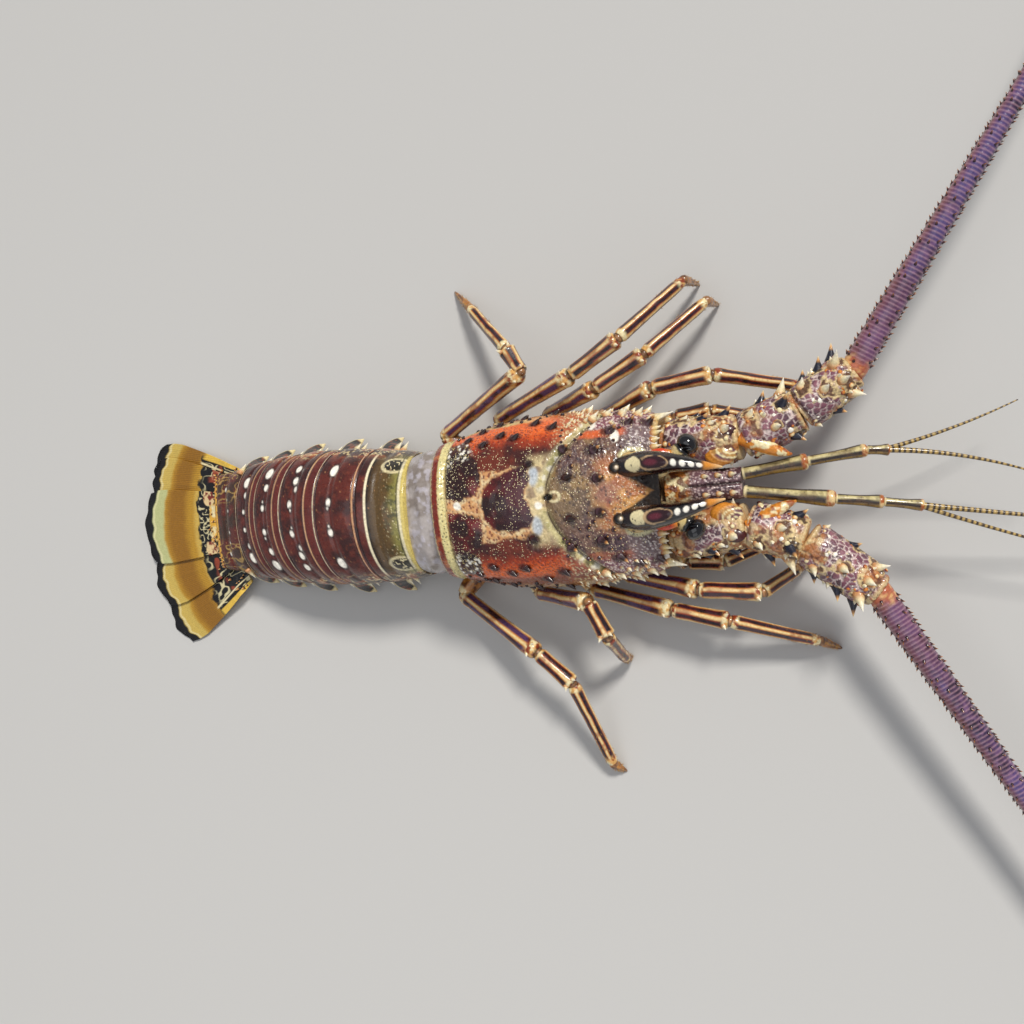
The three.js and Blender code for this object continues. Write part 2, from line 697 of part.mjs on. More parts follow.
// A closed plate between two grids of points that match one for one
function plateFromGrid(top, bottom, rows, columns) {
  const points = [...top, ...bottom];
  const under = top.length;
  const faces = [];
  const index = (i, j) => i * (columns + 1) + j;
  for (let i = 0; i < rows; i += 1) {
    for (let j = 0; j < columns; j += 1) {
      const [a, b, c, d] = [index(i, j), index(i + 1, j), index(i + 1, j + 1), index(i, j + 1)];
      faces.push([a, b, c], [a, c, d]);
      faces.push([under + a, under + c, under + b], [under + a, under + d, under + c]);
    }
  }
  const edge = [];
  for (let i = 0; i < rows; i += 1) edge.push(index(i, 0));
  for (let j = 0; j < columns; j += 1) edge.push(index(rows, j));
  for (let i = rows; i > 0; i -= 1) edge.push(index(i, columns));
  for (let j = columns; j > 0; j -= 1) edge.push(index(0, j));
  edge.forEach((a, n) => {
    const b = edge[(n + 1) % edge.length];
    faces.push([a, under + a, under + b], [a, under + b, b]);
  });
  return solidFrom(points, faces);
}

// Legs: coxa, start of the merus, knee, end of the carpus, end of the propodus and tip
const LEGS = {
  left: [
    [[98, 12, 10], [118, 32, 12], [146, 46, 20], [168, 48, 18], [200, 40, 9], [216, 33, 0.2]],
    [[84, 18, 10], [96, 52, 15], [135.6, 64.7, 36], [173.5, 68.2, 36], [224, 56, 17], [232, 50, 0.2]],
    [[62, 22, 10], [60, 58, 16], [100.6, 68.6, 42], [134.4, 84.9, 46],
      [172.7, 115.6, 26], [177, 117, 0.2]],
    [[40, 26, 10], [25, 59, 17], [87.4, 78, 48], [120.8, 95.6, 54],
      [160.4, 129.9, 30], [166, 132, 0.2]],
    [[16, 27, 10], [-15, 52.4, 17], [52.6, 85.3, 42], [42.4, 102.3, 38],
      [10.8, 138.7, 14], [-4.7, 155, 0.2]],
  ],
  right: [
    [[98, -12, 10], [118, -32, 12], [146, -46, 20], [168, -48, 18], [198, -38, 9], [212, -30, 0.2]],
    [[84, -18, 10], [104, -52, 15], [153, -63.4, 34], [191.5, -67.1, 33],
      [213, -55, 16], [225, -48, 0.2]],
    [[62, -22, 10], [80, -60, 14], [134.6, -75.5, 28], [169.7, -84.1, 30],
      [221.5, -101.3, 12], [233, -108, 0.2]],
    [[40, -26, 10], [44, -60, 17], [87.2, -65.5, 54], [96.8, -87.7, 52],
      [98, -107.3, 12], [99.2, -108, 0.2]],
    [[16, -27, 10], [-12, -58, 16], [44.5, -98.2, 34], [65.9, -119.6, 32],
      [82.2, -177.9, 8], [88.6, -184.7, 0.2]],
  ],
};
// Along each stretch: share of its length, and half width and half height over LEG_RADIUS
const LEG_PROFILE = [
  [[0, 1.45, 1.45], [0.55, 1.3, 1.3]],
  [[0, 0.9, 1], [0.12, 0.95, 1.05], [0.6, 1, 1.1], [0.9, 1.12, 1.12]],
  [[0, 0.92, 0.92], [0.36, 0.98, 0.98], [0.8, 1.05, 1]],
  [[0, 0.78, 0.78], [0.15, 0.84, 0.88], [0.6, 0.72, 0.76]],
  [[0, 0.55, 0.58], [0.5, 0.36, 0.4]],
];
const KNEE = LEG_PROFILE[0].length + LEG_PROFILE[1].length;

function legStations(joints) {
  const stations = [];
  LEG_PROFILE.forEach((profile, n) => {
    for (const [share, wide, high] of profile) {
      stations.push({
        at: joints[n].map((value, axis) => value + (joints[n + 1][axis] - value) * share),
        wide: wide * LEG_RADIUS,
        high: high * LEG_RADIUS,
      });
    }
  });
  stations.push({ at: joints[5], wide: 0.6, high: 0.6 });
  return stations;
}

function legPieces(joints) {
  const [upper, lower] = partedLimb(legStations(joints), 8, [KNEE]);
  const floor = [0, 0, 1];
  return {
    upper: upper.subtract(sternumSolid(GAP)).subtract(carapaceSolid(GAP)).trimByPlane(floor, 0),
    lower: lower.trimByPlane(floor, 0),
  };
}

// The whole animal
const lobster = new THREE.Group();

function add(name, solid, colour, roughness = 0.5) {
  const material = new THREE.MeshStandardMaterial({ color: colour, roughness, metalness: 0 });
  const mesh = new THREE.Mesh(geometryOf(solid), material);
  mesh.name = name;
  lobster.add(mesh);
}

add("carapace", spinedCarapace(), COLOURS.shell);
add("sternum", sternumSolid(0), COLOURS.belly);
add("antennular_plate", plateSolid(), COLOURS.head);
add("waist_membrane", waistSolid(), COLOURS.membrane, 0.35);
for (let n = 0; n < TERGITES.length; n += 1) {
  add(`tail_ring_${n + 1}`, tergiteSolid(n), COLOURS.shell);
}
for (const name of Object.keys(BLADES)) {
  add(name, bladeSolid(name), COLOURS.tail, 0.4);
}
for (const [word, side] of [["left", 1], ["right", -1]]) {
  add(`horn_${word}`, hornSolid(side), COLOURS.horn);
  add(`eye_${word}`, eyeSolid(side), COLOURS.eye, 0.1);
  add(`maxilliped_${word}`, maxillipedSolid(side), COLOURS.leg);
  const antenna = antennaPieces(ANTENNAE[word]);
  antenna.articles.forEach((solid, n) => {
    add(`antenna_${word}_article_${n + 1}`, solid, COLOURS.head);
  });
  antenna.lengths.forEach((solid, n) => {
    add(`antenna_${word}_length_${n + 1}`, solid, COLOURS.antenna, 0.3);
  });
  add(`antennule_${word}`, antennuleSolid(ANTENNULES[word]), COLOURS.antennule);
  LEGS[word].forEach((joints, n) => {
    const leg = legPieces(joints);
    add(`leg_${word}_${n + 1}_upper`, leg.upper, COLOURS.leg);
    add(`leg_${word}_${n + 1}_lower`, leg.lower, COLOURS.leg);
  });
}

export default lobster;
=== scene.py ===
# Looks of a Caribbean spiny lobster: fine shell, spines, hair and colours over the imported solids.
# Points are in millimetres, measured ahead of the carapace's rear margin, and placed() moves them.
# +X is towards the head, +Y is the animal's left and +Z is up, as in the frame.
import math

import bpy
import numpy as np
from mathutils import Matrix, Vector


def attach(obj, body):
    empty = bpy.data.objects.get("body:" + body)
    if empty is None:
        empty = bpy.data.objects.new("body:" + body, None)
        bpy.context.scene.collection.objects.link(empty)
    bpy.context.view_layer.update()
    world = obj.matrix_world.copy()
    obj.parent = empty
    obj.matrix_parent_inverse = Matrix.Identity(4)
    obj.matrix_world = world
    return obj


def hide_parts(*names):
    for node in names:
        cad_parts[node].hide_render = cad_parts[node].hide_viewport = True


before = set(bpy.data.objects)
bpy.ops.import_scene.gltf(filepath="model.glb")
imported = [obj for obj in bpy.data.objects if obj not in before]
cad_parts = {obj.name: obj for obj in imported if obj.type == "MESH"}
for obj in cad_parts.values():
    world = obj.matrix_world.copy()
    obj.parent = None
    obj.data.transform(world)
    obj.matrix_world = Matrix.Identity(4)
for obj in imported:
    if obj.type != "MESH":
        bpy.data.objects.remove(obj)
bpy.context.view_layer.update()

MM = 0.001
ORIGIN_AHEAD = 70.0
SEED = 11


def placed(points):
    return (np.asarray(points, float) - (ORIGIN_AHEAD, 0.0, 0.0)) * MM


# Colours
def tint(code):
    """Linear red, green and blue of a colour in style-sheet hexadecimal."""
    share = np.array([int(code[i : i + 2], 16) for i in (0, 2, 4)]) / 255.0
    return np.where(share <= 0.04045, share / 12.92, ((share + 0.055) / 1.055) ** 2.4)


MAROON = "521712"
DEEP = "2b0b0c"
BLACK = "0b090c"
INK = "161a2c"
ORANGE = "c2431a"
RUST = "96381a"
AMBER = "d88a2e"
PEACH = "cf9562"
NET = "dba468"
CREAM = "eedfae"
WHITE = "f8f2e4"
LILAC = "9a6f84"
VIOLET = "4a3050"
GOLD = "c4952e"
BROWN_GOLD = "8f5f16"
BLUISH_HIGHLIGHT = "b9c4cf"


def smooth(x, start, end):
    share = np.clip((np.asarray(x, float) - start) / (end - start), 0, 1)
    return share * share * (3 - 2 * share)


def over(colours, colour, share):
    """The colours with another laid over them by its share at each point."""
    cover = np.asarray(share, float)[..., None]
    if isinstance(colour, str):
        colour = tint(colour)
    return colours * (1 - cover) + colour * cover


def painted(colours, *layers):
    """The colours with each layer (colour, share) laid over them in turn."""
    for colour, share in layers:
        colours = over(colours, colour, share)
    return colours


def blend(points, first, second, share):
    """The first colour at each point, turning into the second by its share."""
    return over(np.broadcast_to(tint(first), points.shape), second, share)


def band(x, low, high, edge):
    return smooth(x, low - edge, low + edge) * (1 - smooth(x, high - edge, high + edge))


# Seeded noise
def chance(cell, seed):
    """A number from 0 to 1 for each whole-number cell."""
    mixed = (cell[:, 0] * 73856093) ^ (cell[:, 1] * 19349663) ^ (cell[:, 2] * 83492791)
    mixed = (mixed ^ (seed * 2654435761)) & 0xFFFFFFFF
    mixed = ((mixed ^ (mixed >> 15)) * 2246822519) & 0xFFFFFFFF
    mixed = ((mixed ^ (mixed >> 13)) * 3266489917) & 0xFFFFFFFF
    return (mixed ^ (mixed >> 16)) / 4294967295.0


def noise(points, size, seed=SEED):
    """Smooth noise from 0 to 1, with features of about the given size."""
    scaled = points.reshape(-1, 3) / size
    base = np.floor(scaled).astype(np.int64)
    part = scaled - base
    part = part * part * (3 - 2 * part)
    total = np.zeros(len(scaled))
    for corner in np.ndindex(2, 2, 2):
        weight = np.ones(len(scaled))
        for axis in range(3):
            weight *= part[:, axis] if corner[axis] else 1 - part[:, axis]
        total += weight * chance(base + corner, seed)
    return total.reshape(points.shape[:-1])


def layered(points, size, seed=SEED):
    """Noise from 0 to 1 with finer noise added to it."""
    coarse = noise(points, size, seed)
    medium = noise(points, size / 2.1, seed + 5)
    return 0.6 * coarse + 0.28 * medium + 0.12 * noise(points, size / 4.3, seed + 9)


def patches(points, size, seed, low, high):
    """Ragged patches where layered noise rises from low to high."""
    return smooth(layered(points, size, seed), low, high)


def cells(points, size, seed=SEED, flat=False):
    """Distance to the nearest and next cell point in cell sizes, and the nearest cell's own number."""
    scaled = points.reshape(-1, 3) / size
    base = np.floor(scaled).astype(np.int64)
    first = np.full(len(scaled), 9.0)
    second = first.copy()
    tone = np.zeros(len(scaled))
    for step in np.ndindex(3, 3, 1 if flat else 3):
        cell = base + np.array(step) - (1, 1, 0 if flat else 1)
        spot = cell + np.stack([chance(cell, seed + axis) for axis in range(3)], axis=1)
        if flat:
            spot[:, 2] = scaled[:, 2]
        away = np.linalg.norm(spot - scaled, axis=1)
        nearer = away < first
        second = np.where(nearer, first, np.minimum(second, away))
        tone = np.where(nearer, chance(cell, seed + 7), tone)
        first = np.where(nearer, away, first)
    shape = points.shape[:-1]
    return first.reshape(shape), second.reshape(shape), tone.reshape(shape)


def specks(points, size, radius, kept, seed):
    """Round specks: how far inside one each point is, for the given share of cells."""
    first, _, tone = cells(points, size, seed)
    return smooth(first, radius * 1.25, radius * 0.75) * (tone < kept)


def pores(x, reach, size, radius, kept, seed):
    """Round specks laid out over a surface by two distances along it."""
    spread = np.stack([x + 0 * reach, reach + 0 * x, 0 * (x + reach)], axis=-1)
    first, _, tone = cells(spread, size, seed, flat=True)
    return smooth(first, radius * 1.25, radius * 0.75) * (tone < kept)


def along(keys, x):
    """A smooth value at each x through the keys [(x, value), ...]."""
    keys = np.array(sorted(map(tuple, keys)), float)
    where, values = keys[:, 0], keys[:, 1]
    x = np.clip(x, where[0], where[-1])
    i = np.clip(np.searchsorted(where, x, side="right") - 1, 0, len(where) - 2)
    before = values[np.maximum(i - 1, 0)]
    after = values[np.minimum(i + 2, len(where) - 1)]
    v0, v1 = values[i], values[i + 1]
    x0, x1 = where[i], where[i + 1]
    slope0 = (v1 - before) / (x1 - where[np.maximum(i - 1, 0)])
    slope1 = (after - v0) / (where[np.minimum(i + 2, len(where) - 1)] - x0)
    t = (x - x0) / (x1 - x0)
    step = x1 - x0
    near = v0 * (1 + 2 * t) * (1 - t) ** 2 + slope0 * step * t * (1 - t) ** 2
    return near + v1 * t * t * (3 - 2 * t) + slope1 * step * t * t * (t - 1)


def power(value, exponent):
    """A power of the number's size that keeps its sign."""
    return np.sign(value) * np.abs(value) ** exponent


def unit(vectors):
    return vectors / np.maximum(np.linalg.norm(vectors, axis=-1, keepdims=True), 1e-9)


def between(start, end, share):
    """The numbers at a share of the way from one row to another."""
    return [a + (b - a) * share for a, b in zip(start, end)]


def heading(turn, lift):
    """The direction at an angle round from +X and an angle up from level, both in radians."""
    level = math.cos(lift)
    return np.array([math.cos(turn) * level, math.sin(turn) * level, math.sin(lift)])


# Meshes
class Coat:
    """A piece in the making: closed bodies with a colour and a grit value at each point."""

    def __init__(self):
        self.points, self.colours, self.grits, self.quads, self.tris = [], [], [], [], []
        self.count = 0

    def add(self, points, quads, tris, colours, grit):
        points = np.asarray(points, float).reshape(-1, 3)
        middle = points.mean(0)
        volume = 0.0
        for faces in (quads, tris):
            corners = points[faces] - middle
            for n in range(2, faces.shape[1]):
                turn = np.cross(corners[:, n - 1], corners[:, n])
                volume += (corners[:, 0] * turn).sum()
        if volume < 0:
            quads, tris = quads[:, ::-1], tris[:, ::-1]
        self.points.append(points)
        self.colours.append(np.broadcast_to(np.asarray(colours).reshape(-1, 3), points.shape))
        self.grits.append(np.broadcast_to(np.asarray(grit, float).reshape(-1), len(points)))
        self.quads.append(quads + self.count)
        self.tris.append(tris + self.count)
        self.count += len(points)

    def build(self, name, material, nodes):
        points = placed(np.concatenate(self.points))
        quads, tris = np.concatenate(self.quads), np.concatenate(self.tris)
        sizes = np.concatenate([np.full(len(quads), 4), np.full(len(tris), 3)])
        starts = np.concatenate([[0], np.cumsum(sizes)[:-1]])
        mesh = bpy.data.meshes.new(name)
        mesh.vertices.add(len(points))
        mesh.vertices.foreach_set("co", points.ravel())
        mesh.loops.add(int(sizes.sum()))
        mesh.loops.foreach_set("vertex_index", np.concatenate([quads.ravel(), tris.ravel()]))
        mesh.polygons.add(len(sizes))
        mesh.polygons.foreach_set("loop_start", starts)
        mesh.update(calc_edges=True)
        mesh.validate()
        mesh.polygons.foreach_set("use_smooth", np.ones(len(mesh.polygons), bool))
        paint = mesh.color_attributes.new("paint", "FLOAT_COLOR", "POINT")
        colours = np.clip(np.concatenate(self.colours), 0, 1)
        rgba = np.concatenate([colours, np.ones((len(colours), 1))], axis=1)
        paint.data.foreach_set("color", rgba.ravel())
        grit = mesh.attributes.new("grit", "FLOAT", "POINT")
        grit.data.foreach_set("value", np.concatenate(self.grits))
        mesh.materials.append(material)
        piece = bpy.data.objects.new(name, mesh)
        bpy.context.collection.objects.link(piece)
        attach(piece, "root")
        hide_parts(*nodes)
        return piece


def ring_quads(rows, columns):
    """Four-sided faces between neighbouring closed rings of points."""
    i = np.arange(rows - 1)[:, None] * columns
    j = np.arange(columns)[None, :]
    k = (j + 1) % columns
    return np.stack([i + j, i + k, i + columns + k, i + columns + j], axis=-1).reshape(-1, 4)


def add_tube(coat, grid, colours, grit):
    """A closed body through rings of points, with a fan over each end."""
    rows, columns = grid.shape[:2]
    ends = [grid[0].mean(0), grid[-1].mean(0)]
    points = np.concatenate([grid.reshape(-1, 3), ends])
    colours = np.broadcast_to(colours, grid.shape)
    tones = np.concatenate([colours.reshape(-1, 3), [colours[0].mean(0), colours[-1].mean(0)]])
    grits = np.concatenate([np.broadcast_to(grit, (rows, columns)).ravel(), [0.0, 0.0]])
    j = np.arange(columns)
    k = (j + 1) % columns
    first = np.full(columns, rows * columns)
    last = (rows - 1) * columns
    tris = np.concatenate([np.stack([first, k, j], 1), np.stack([first + 1, last + j, last + k], 1)])
    coat.add(points, ring_quads(rows, columns), tris, tones, grits)


def grid_normals(grid):
    """The direction out of a body of rings at each of its points."""
    lengthwise = np.gradient(grid, axis=0)
    around = np.roll(grid, -1, axis=1) - np.roll(grid, 1, axis=1)
    normals = unit(np.cross(lengthwise, around))
    outward = grid - grid.mean(axis=1, keepdims=True)
    return normals if (normals * outward).sum() > 0 else -normals


def raised(grid, height):
    """The grid moved along its normals by a height in mm at each point."""
    return grid + grid_normals(grid) * height[..., None]


# Profiles of small solids: share of the length and of the radius, from the sunk root to the tip
SPINE = [(-0.25, 1.3), (0.0, 1.12), (0.08, 1.0), (0.25, 0.78), (0.5, 0.5), (0.75, 0.26), (0.93, 0.1)]
THORN = [(-0.3, 1.25), (0.0, 1.1), (0.2, 0.92), (0.5, 0.68), (0.78, 0.42), (0.94, 0.2)]
KNOB = [(-0.6, 1.0), (0.0, 1.0), (0.35, 0.92), (0.65, 0.72), (0.87, 0.42), (0.97, 0.16)]
HAIR = [(-0.1, 1.0), (0.3, 0.8), (0.7, 0.45)]


def add_studs(coat, at, direction, length, radius, profile, stops, sides=9, grit=0.2):
    """Spines, knobs or hairs, one at each point, coloured along their length by the stops."""
    at = np.atleast_2d(at)
    number = len(at)
    direction = unit(np.broadcast_to(direction, at.shape))
    length = np.broadcast_to(np.asarray(length, float), number)[:, None, None, None]
    radius = np.broadcast_to(np.asarray(radius, float), number)[:, None, None, None]
    across = unit(np.cross(direction, (0.31, 0.23, 0.92)))
    upward = np.cross(direction, across)
    angle = 2 * np.pi * np.arange(sides) / sides
    ring = across[:, None, :] * np.cos(angle)[None, :, None]
    ring = ring + upward[:, None, :] * np.sin(angle)[None, :, None]
    shares = np.array([share for share, _ in profile])
    wides = np.array([wide for _, wide in profile])
    body = at[:, None, None, :] + direction[:, None, None, :] * length * shares[None, :, None, None]
    body = body + ring[:, None, :, :] * radius * wides[None, :, None, None]
    tip = at + direction * length[:, 0, 0, :]
    root = at + direction * length[:, 0, 0, :] * shares[0]
    each = len(profile) * sides + 2
    points = np.concatenate([body.reshape(number, -1, 3), tip[:, None], root[:, None]], axis=1)
    rows = ring_quads(len(profile), sides)
    j = np.arange(sides)
    k = (j + 1) % sides
    top = (len(profile) - 1) * sides
    caps = np.concatenate([
        np.stack([np.full(sides, each - 2), top + j, top + k], 1),
        np.stack([np.full(sides, each - 1), k, j], 1),
    ])
    offset = (np.arange(number) * each)[:, None, None]
    marks = np.concatenate([np.repeat(shares, sides), [1.0, shares[0]]])
    where = np.array([share for share, _ in stops])
    tones = np.array([tint(colour) for _, colour in stops])
    colours = np.stack([np.interp(marks, where, tones[:, c]) for c in range(3)], axis=-1)
    colours = np.broadcast_to(colours, (number, each, 3))
    quads = (rows[None] + offset).reshape(-1, 4)
    tris = (caps[None] + offset).reshape(-1, 3)
    coat.add(points, quads, tris, colours, grit)


WARM_SPINE = [(0, "4c3039"), (0.25, DEEP), (0.55, "2a1214"), (0.75, "c98a4a"), (1, CREAM)]
EDGE_SPINE = [(0, "a8683a"), (0.3, "dfc07c"), (0.6, CREAM), (1, WHITE)]
DARK_SPINE = [(0, INK), (0.5, INK), (0.68, AMBER), (1, CREAM)]
RUSTY_SPINE = [(0, MAROON), (0.5, AMBER), (1, CREAM)]
FAN_SPINE = [(0, BLACK), (0.4, AMBER), (1, CREAM)]
PALE_SPINE = [(0, PEACH), (0.3, CREAM), (1, WHITE)]
DARK_KNOB = [(-0.3, MAROON), (0.2, DEEP), (0.6, "16080c"), (1, "3c1a14")]
KNOBS = [
    [(0, CREAM), (0.6, WHITE), (1, WHITE)],
    [(0, PEACH), (0.6, CREAM), (1, CREAM)],
    [(0, RUST), (0.5, AMBER), (1, CREAM)],
    [(0, ORANGE), (1, AMBER)],
    [(0, DEEP), (0.6, RUST), (1, AMBER)],
]
GRANULE = [(0, LILAC), (0.5, WHITE), (1, WHITE)]
WHIP_SPINE = [(0, "2a1420"), (0.45, "5c2a1c"), (1, AMBER)]
BRISTLE = [(0, BROWN_GOLD), (1, GOLD)]


# Materials
class Finish:
    """A material in the making: its nodes, with inputs set to numbers or fed by other nodes."""

    def __init__(self, name):
        self.material = bpy.data.materials.new(name)
        self.material.use_nodes = True
        self.tree = self.material.node_tree
        self.shader = self.tree.nodes["Principled BSDF"]
        self.place = self.node("TexCoord").outputs["Object"]

    def node(self, kind, inputs=None):
        node = self.tree.nodes.new("ShaderNode" + kind)
        self.feed(node, inputs or {})
        return node

    def feed(self, node, inputs):
        for socket, value in inputs.items():
            if isinstance(value, bpy.types.NodeSocket):
                self.tree.links.new(value, node.inputs[socket])
            else:
                node.inputs[socket].default_value = value

    def attribute(self, name):
        node = self.node("Attribute")
        node.attribute_name = name
        return node

    def noise(self, size, detail):
        inputs = {"Scale": 1 / (size * MM), "Detail": detail, "Vector": self.place}
        return self.node("TexNoise", inputs).outputs["Fac"]

    def cells(self, size):
        return self.node("TexVoronoi", {"Scale": 1 / (size * MM), "Vector": self.place})

    def math(self, operation, *values):
        node = self.node("Math")
        node.operation = operation
        self.feed(node, dict(enumerate(values)))
        return node.outputs["Value"]

    def ranged(self, value, start, end, low, high):
        """The value's place between start and end, given from low to high."""
        inputs = {"Value": value, "From Min": start, "From Max": end, "To Min": low, "To Max": high}
        return self.node("MapRange", inputs).outputs["Result"]

    def mixed(self, colour, added, share):
        node = self.node("Mix")
        node.data_type = "RGBA"
        self.feed(node, {"Factor": share, "A": colour, "B": (*tint(added), 1)})
        return node.outputs["Result"]


def shell_material(name, rough, grain, depth, variation, coat, fleck=0.0, dot_gap=0.0):
    """A wet, hard finish over the painted colour: grain, depth and the gap of dots in mm."""
    finish = Finish(name)
    paint = finish.attribute("paint").outputs["Color"]
    grit = finish.attribute("grit").outputs["Fac"]
    shade = finish.ranged(finish.noise(grain * 1.6, 4), 0.3, 0.7, 1 - variation, 1 + variation)
    tone = finish.node("VectorMath")
    tone.operation = "SCALE"
    finish.feed(tone, {0: paint, "Scale": shade})
    colour = tone.outputs["Vector"]
    grains = finish.cells(grain).outputs["Distance"]
    if fleck:
        spot = finish.ranged(grains, 0.26, 0.12, 0, fleck)
        colour = finish.mixed(colour, PEACH, finish.math("MULTIPLY", spot, grit))
    if dot_gap:
        crowd = finish.attribute("dots").outputs["Fac"]
        places = finish.cells(dot_gap)
        own = finish.node("SeparateColor", {"Color": places.outputs["Color"]})
        kept = finish.math("LESS_THAN", own.outputs["Red"], crowd)
        disc = finish.ranged(places.outputs["Distance"], 0.31, 0.22, 0, 1)
        colour = finish.mixed(colour, CREAM, finish.math("MULTIPLY", kept, disc))
    uneven = finish.ranged(finish.noise(grain * 2.5, 2), 0.3, 0.7, rough * 0.7, rough * 1.35)
    pits = finish.math("MULTIPLY", grains, grit)
    height = finish.math("MULTIPLY_ADD", finish.noise(grain * 0.7, 3), 0.5, pits)
    bump = finish.node("Bump", {"Distance": depth * MM, "Strength": 0.55, "Height": height})
    bump.invert = True
    finish.feed(finish.shader, {
        "Base Color": colour,
        "Roughness": uneven,
        "Specular IOR Level": 0.45,
        "Coat Weight": coat,
        "Coat Roughness": 0.12,
        "Normal": bump.outputs["Normal"],
    })
    return finish.material


SHELL = shell_material("shell", 0.32, 0.9, 0.35, 0.2, 0.6, fleck=0.35)
DOTTED_SHELL = shell_material("dotted_shell", 0.32, 0.9, 0.35, 0.2, 0.6, fleck=0.35, dot_gap=1.15)
HORNY = shell_material("horn", 0.24, 0.8, 0.15, 0.12, 0.7)
ROUGH_HEAD = shell_material("head", 0.36, 0.9, 0.4, 0.2, 0.45, fleck=0.5)
WHIP = shell_material("antenna", 0.26, 0.8, 0.2, 0.16, 0.6)
LIMB = shell_material("limb", 0.3, 0.8, 0.18, 0.16, 0.55)
FAN = shell_material("fan", 0.3, 0.7, 0.12, 0.1, 0.5)
SKIN = shell_material("membrane", 0.22, 1.6, 0.3, 0.1, 0.7)
CORNEA = shell_material("cornea", 0.07, 1.0, 0.01, 0.05, 1.0)


# Arched sections
SIDE_POWER = 0.9
UNDER_REACH = 1.35
LOWEST = math.asin((1 / UNDER_REACH) ** (1 / SIDE_POWER))


def arch_columns(across, below):
    """Shares of half width and of rise for points set evenly round an arch, then its underside."""
    angle = np.linspace(math.pi / 2, -LOWEST, 500)
    wide = power(np.cos(angle), SIDE_POWER)
    rise = power(np.sin(angle), SIDE_POWER)
    y = 50 * wide
    z = np.where(rise > 0, 36 * rise, 24 * UNDER_REACH * rise)
    reach = np.concatenate([[0], np.cumsum(np.hypot(np.diff(y), np.diff(z)))])
    even = np.linspace(0, reach[-1], across + 1)
    wide, rise = np.interp(even, reach, wide), np.interp(even, reach, rise)
    flat = np.linspace(-wide[-1], wide[-1], below + 2)[1:-1]
    return (
        np.concatenate([wide[::-1], -wide[1:], flat]),
        np.concatenate([rise[::-1], rise[1:], np.full(below, -1 / UNDER_REACH)]),
    )


def arch_points(x, section, across, below):
    """Points of an arched body at each x of the grid, and their distance round from the top."""
    wide, rise = arch_columns(across, below)
    half, top, widest, underside, centre = section(x)
    y = centre + half * wide
    lower = np.maximum(widest + (widest - underside) * UNDER_REACH * rise, underside)
    z = np.where(rise > 0, widest + (top - widest) * rise, lower)
    grid = np.stack([x, y, z], axis=-1)
    steps = np.linalg.norm(np.diff(grid[:, : 2 * across + 1], axis=1), axis=-1)
    reach = np.concatenate([np.zeros((len(x), 1)), np.cumsum(steps, axis=1)], axis=1)
    reach = reach[:, across : across + 1] - reach
    last = np.repeat(reach[:, -1:], below, axis=1)
    return grid, np.concatenate([reach, last], axis=1)


def dished_ends(grid, inward):
    """The grid with rings that close both of its ends as shallow dishes."""
    shrink = [0.985, 0.95, 0.88, 0.7, 0.45, 0.2]
    depth = [0.1, 0.5, 1.0, 1.0, 1.0, 1.0]
    ends = []
    for ring, sign in ((grid[0], 1), (grid[-1], -1)):
        middle = ring.mean(0)
        rows = [middle + (ring - middle) * s + (sign * inward * d, 0, 0) for s, d in zip(shrink, depth)]
        ends.append(np.array(rows))
    return np.concatenate([ends[0][::-1], grid, ends[1]]), len(shrink)


def padded(values, rows):
    """Values of a grid repeated over the rings that close its ends."""
    return np.concatenate([np.repeat(values[:1], rows, 0), values, np.repeat(values[-1:], rows, 0)])


# Carapace
REAR_EDGE, FRONT_EDGE = -4.0, 142.0
HALF_WIDTH, TOP, WIDEST, UNDERSIDE = 54.5, 88.0, 46.0, 22.0
CARAPACE_WIDTHS = [
    (REAR_EDGE, 0.79), (0, 0.8), (12, 0.86), (35, 0.95), (60, 1), (90, 1), (115, 0.965), (134, 0.9),
    (FRONT_EDGE, 0.84),
]
CARAPACE_TOPS = [
    (REAR_EDGE, 0.865), (0, 0.88), (12, 0.91), (40, 0.96), (73, 1), (100, 0.995), (120, 0.975),
    (134, 0.93), (FRONT_EDGE, 0.85),
]
RIM = [(REAR_EDGE, 0), (-2, 0.9), (3, 0.9), (6, -1.2), (9, 0.4), (13, 0)]
# Distance ahead, angle round from the top, length and radius of the spines of one side
CARAPACE_SPINES = [
    (16, 14, 2.4, 2.6), (17, 34, 2.4, 2.6), (22, 58, 2.6, 2.6), (31, 66, 2.6, 2.6), (34, 46, 2.8, 2.8),
    (42, 72, 2.6, 2.6), (46, 52, 3, 2.8), (56, 46, 3.4, 3), (58, 76, 2.8, 2.6), (68, 60, 3.2, 2.8),
    (66, 22, 3.6, 2.8), (80, 52, 4, 2.8), (78, 78, 3.2, 2.6), (90, 11, 5, 2.8), (88, 31, 6, 3.2),
    (108, 9, 6, 3), (107, 28, 6.5, 3.3), (116, 44, 7, 3.2), (104, 60, 5, 2.6), (112, 66, 5, 2.4),
    (121, 68, 5.5, 2.4), (130, 70, 6, 2.4), (126, 54, 7, 2.8), (137, 56, 8, 3), (98, 84, 4.5, 2.4),
    (120, 88, 5, 2.4), (133, 90, 5.5, 2.4),
]
# Angle round from the top and length of the spines of the front edge, on one side
EDGE_SPINES = [(24.0, 4.5), (31, 6), (38, 5), (45, 7), (51, 5.5), (66, 6.5), (74, 5)]
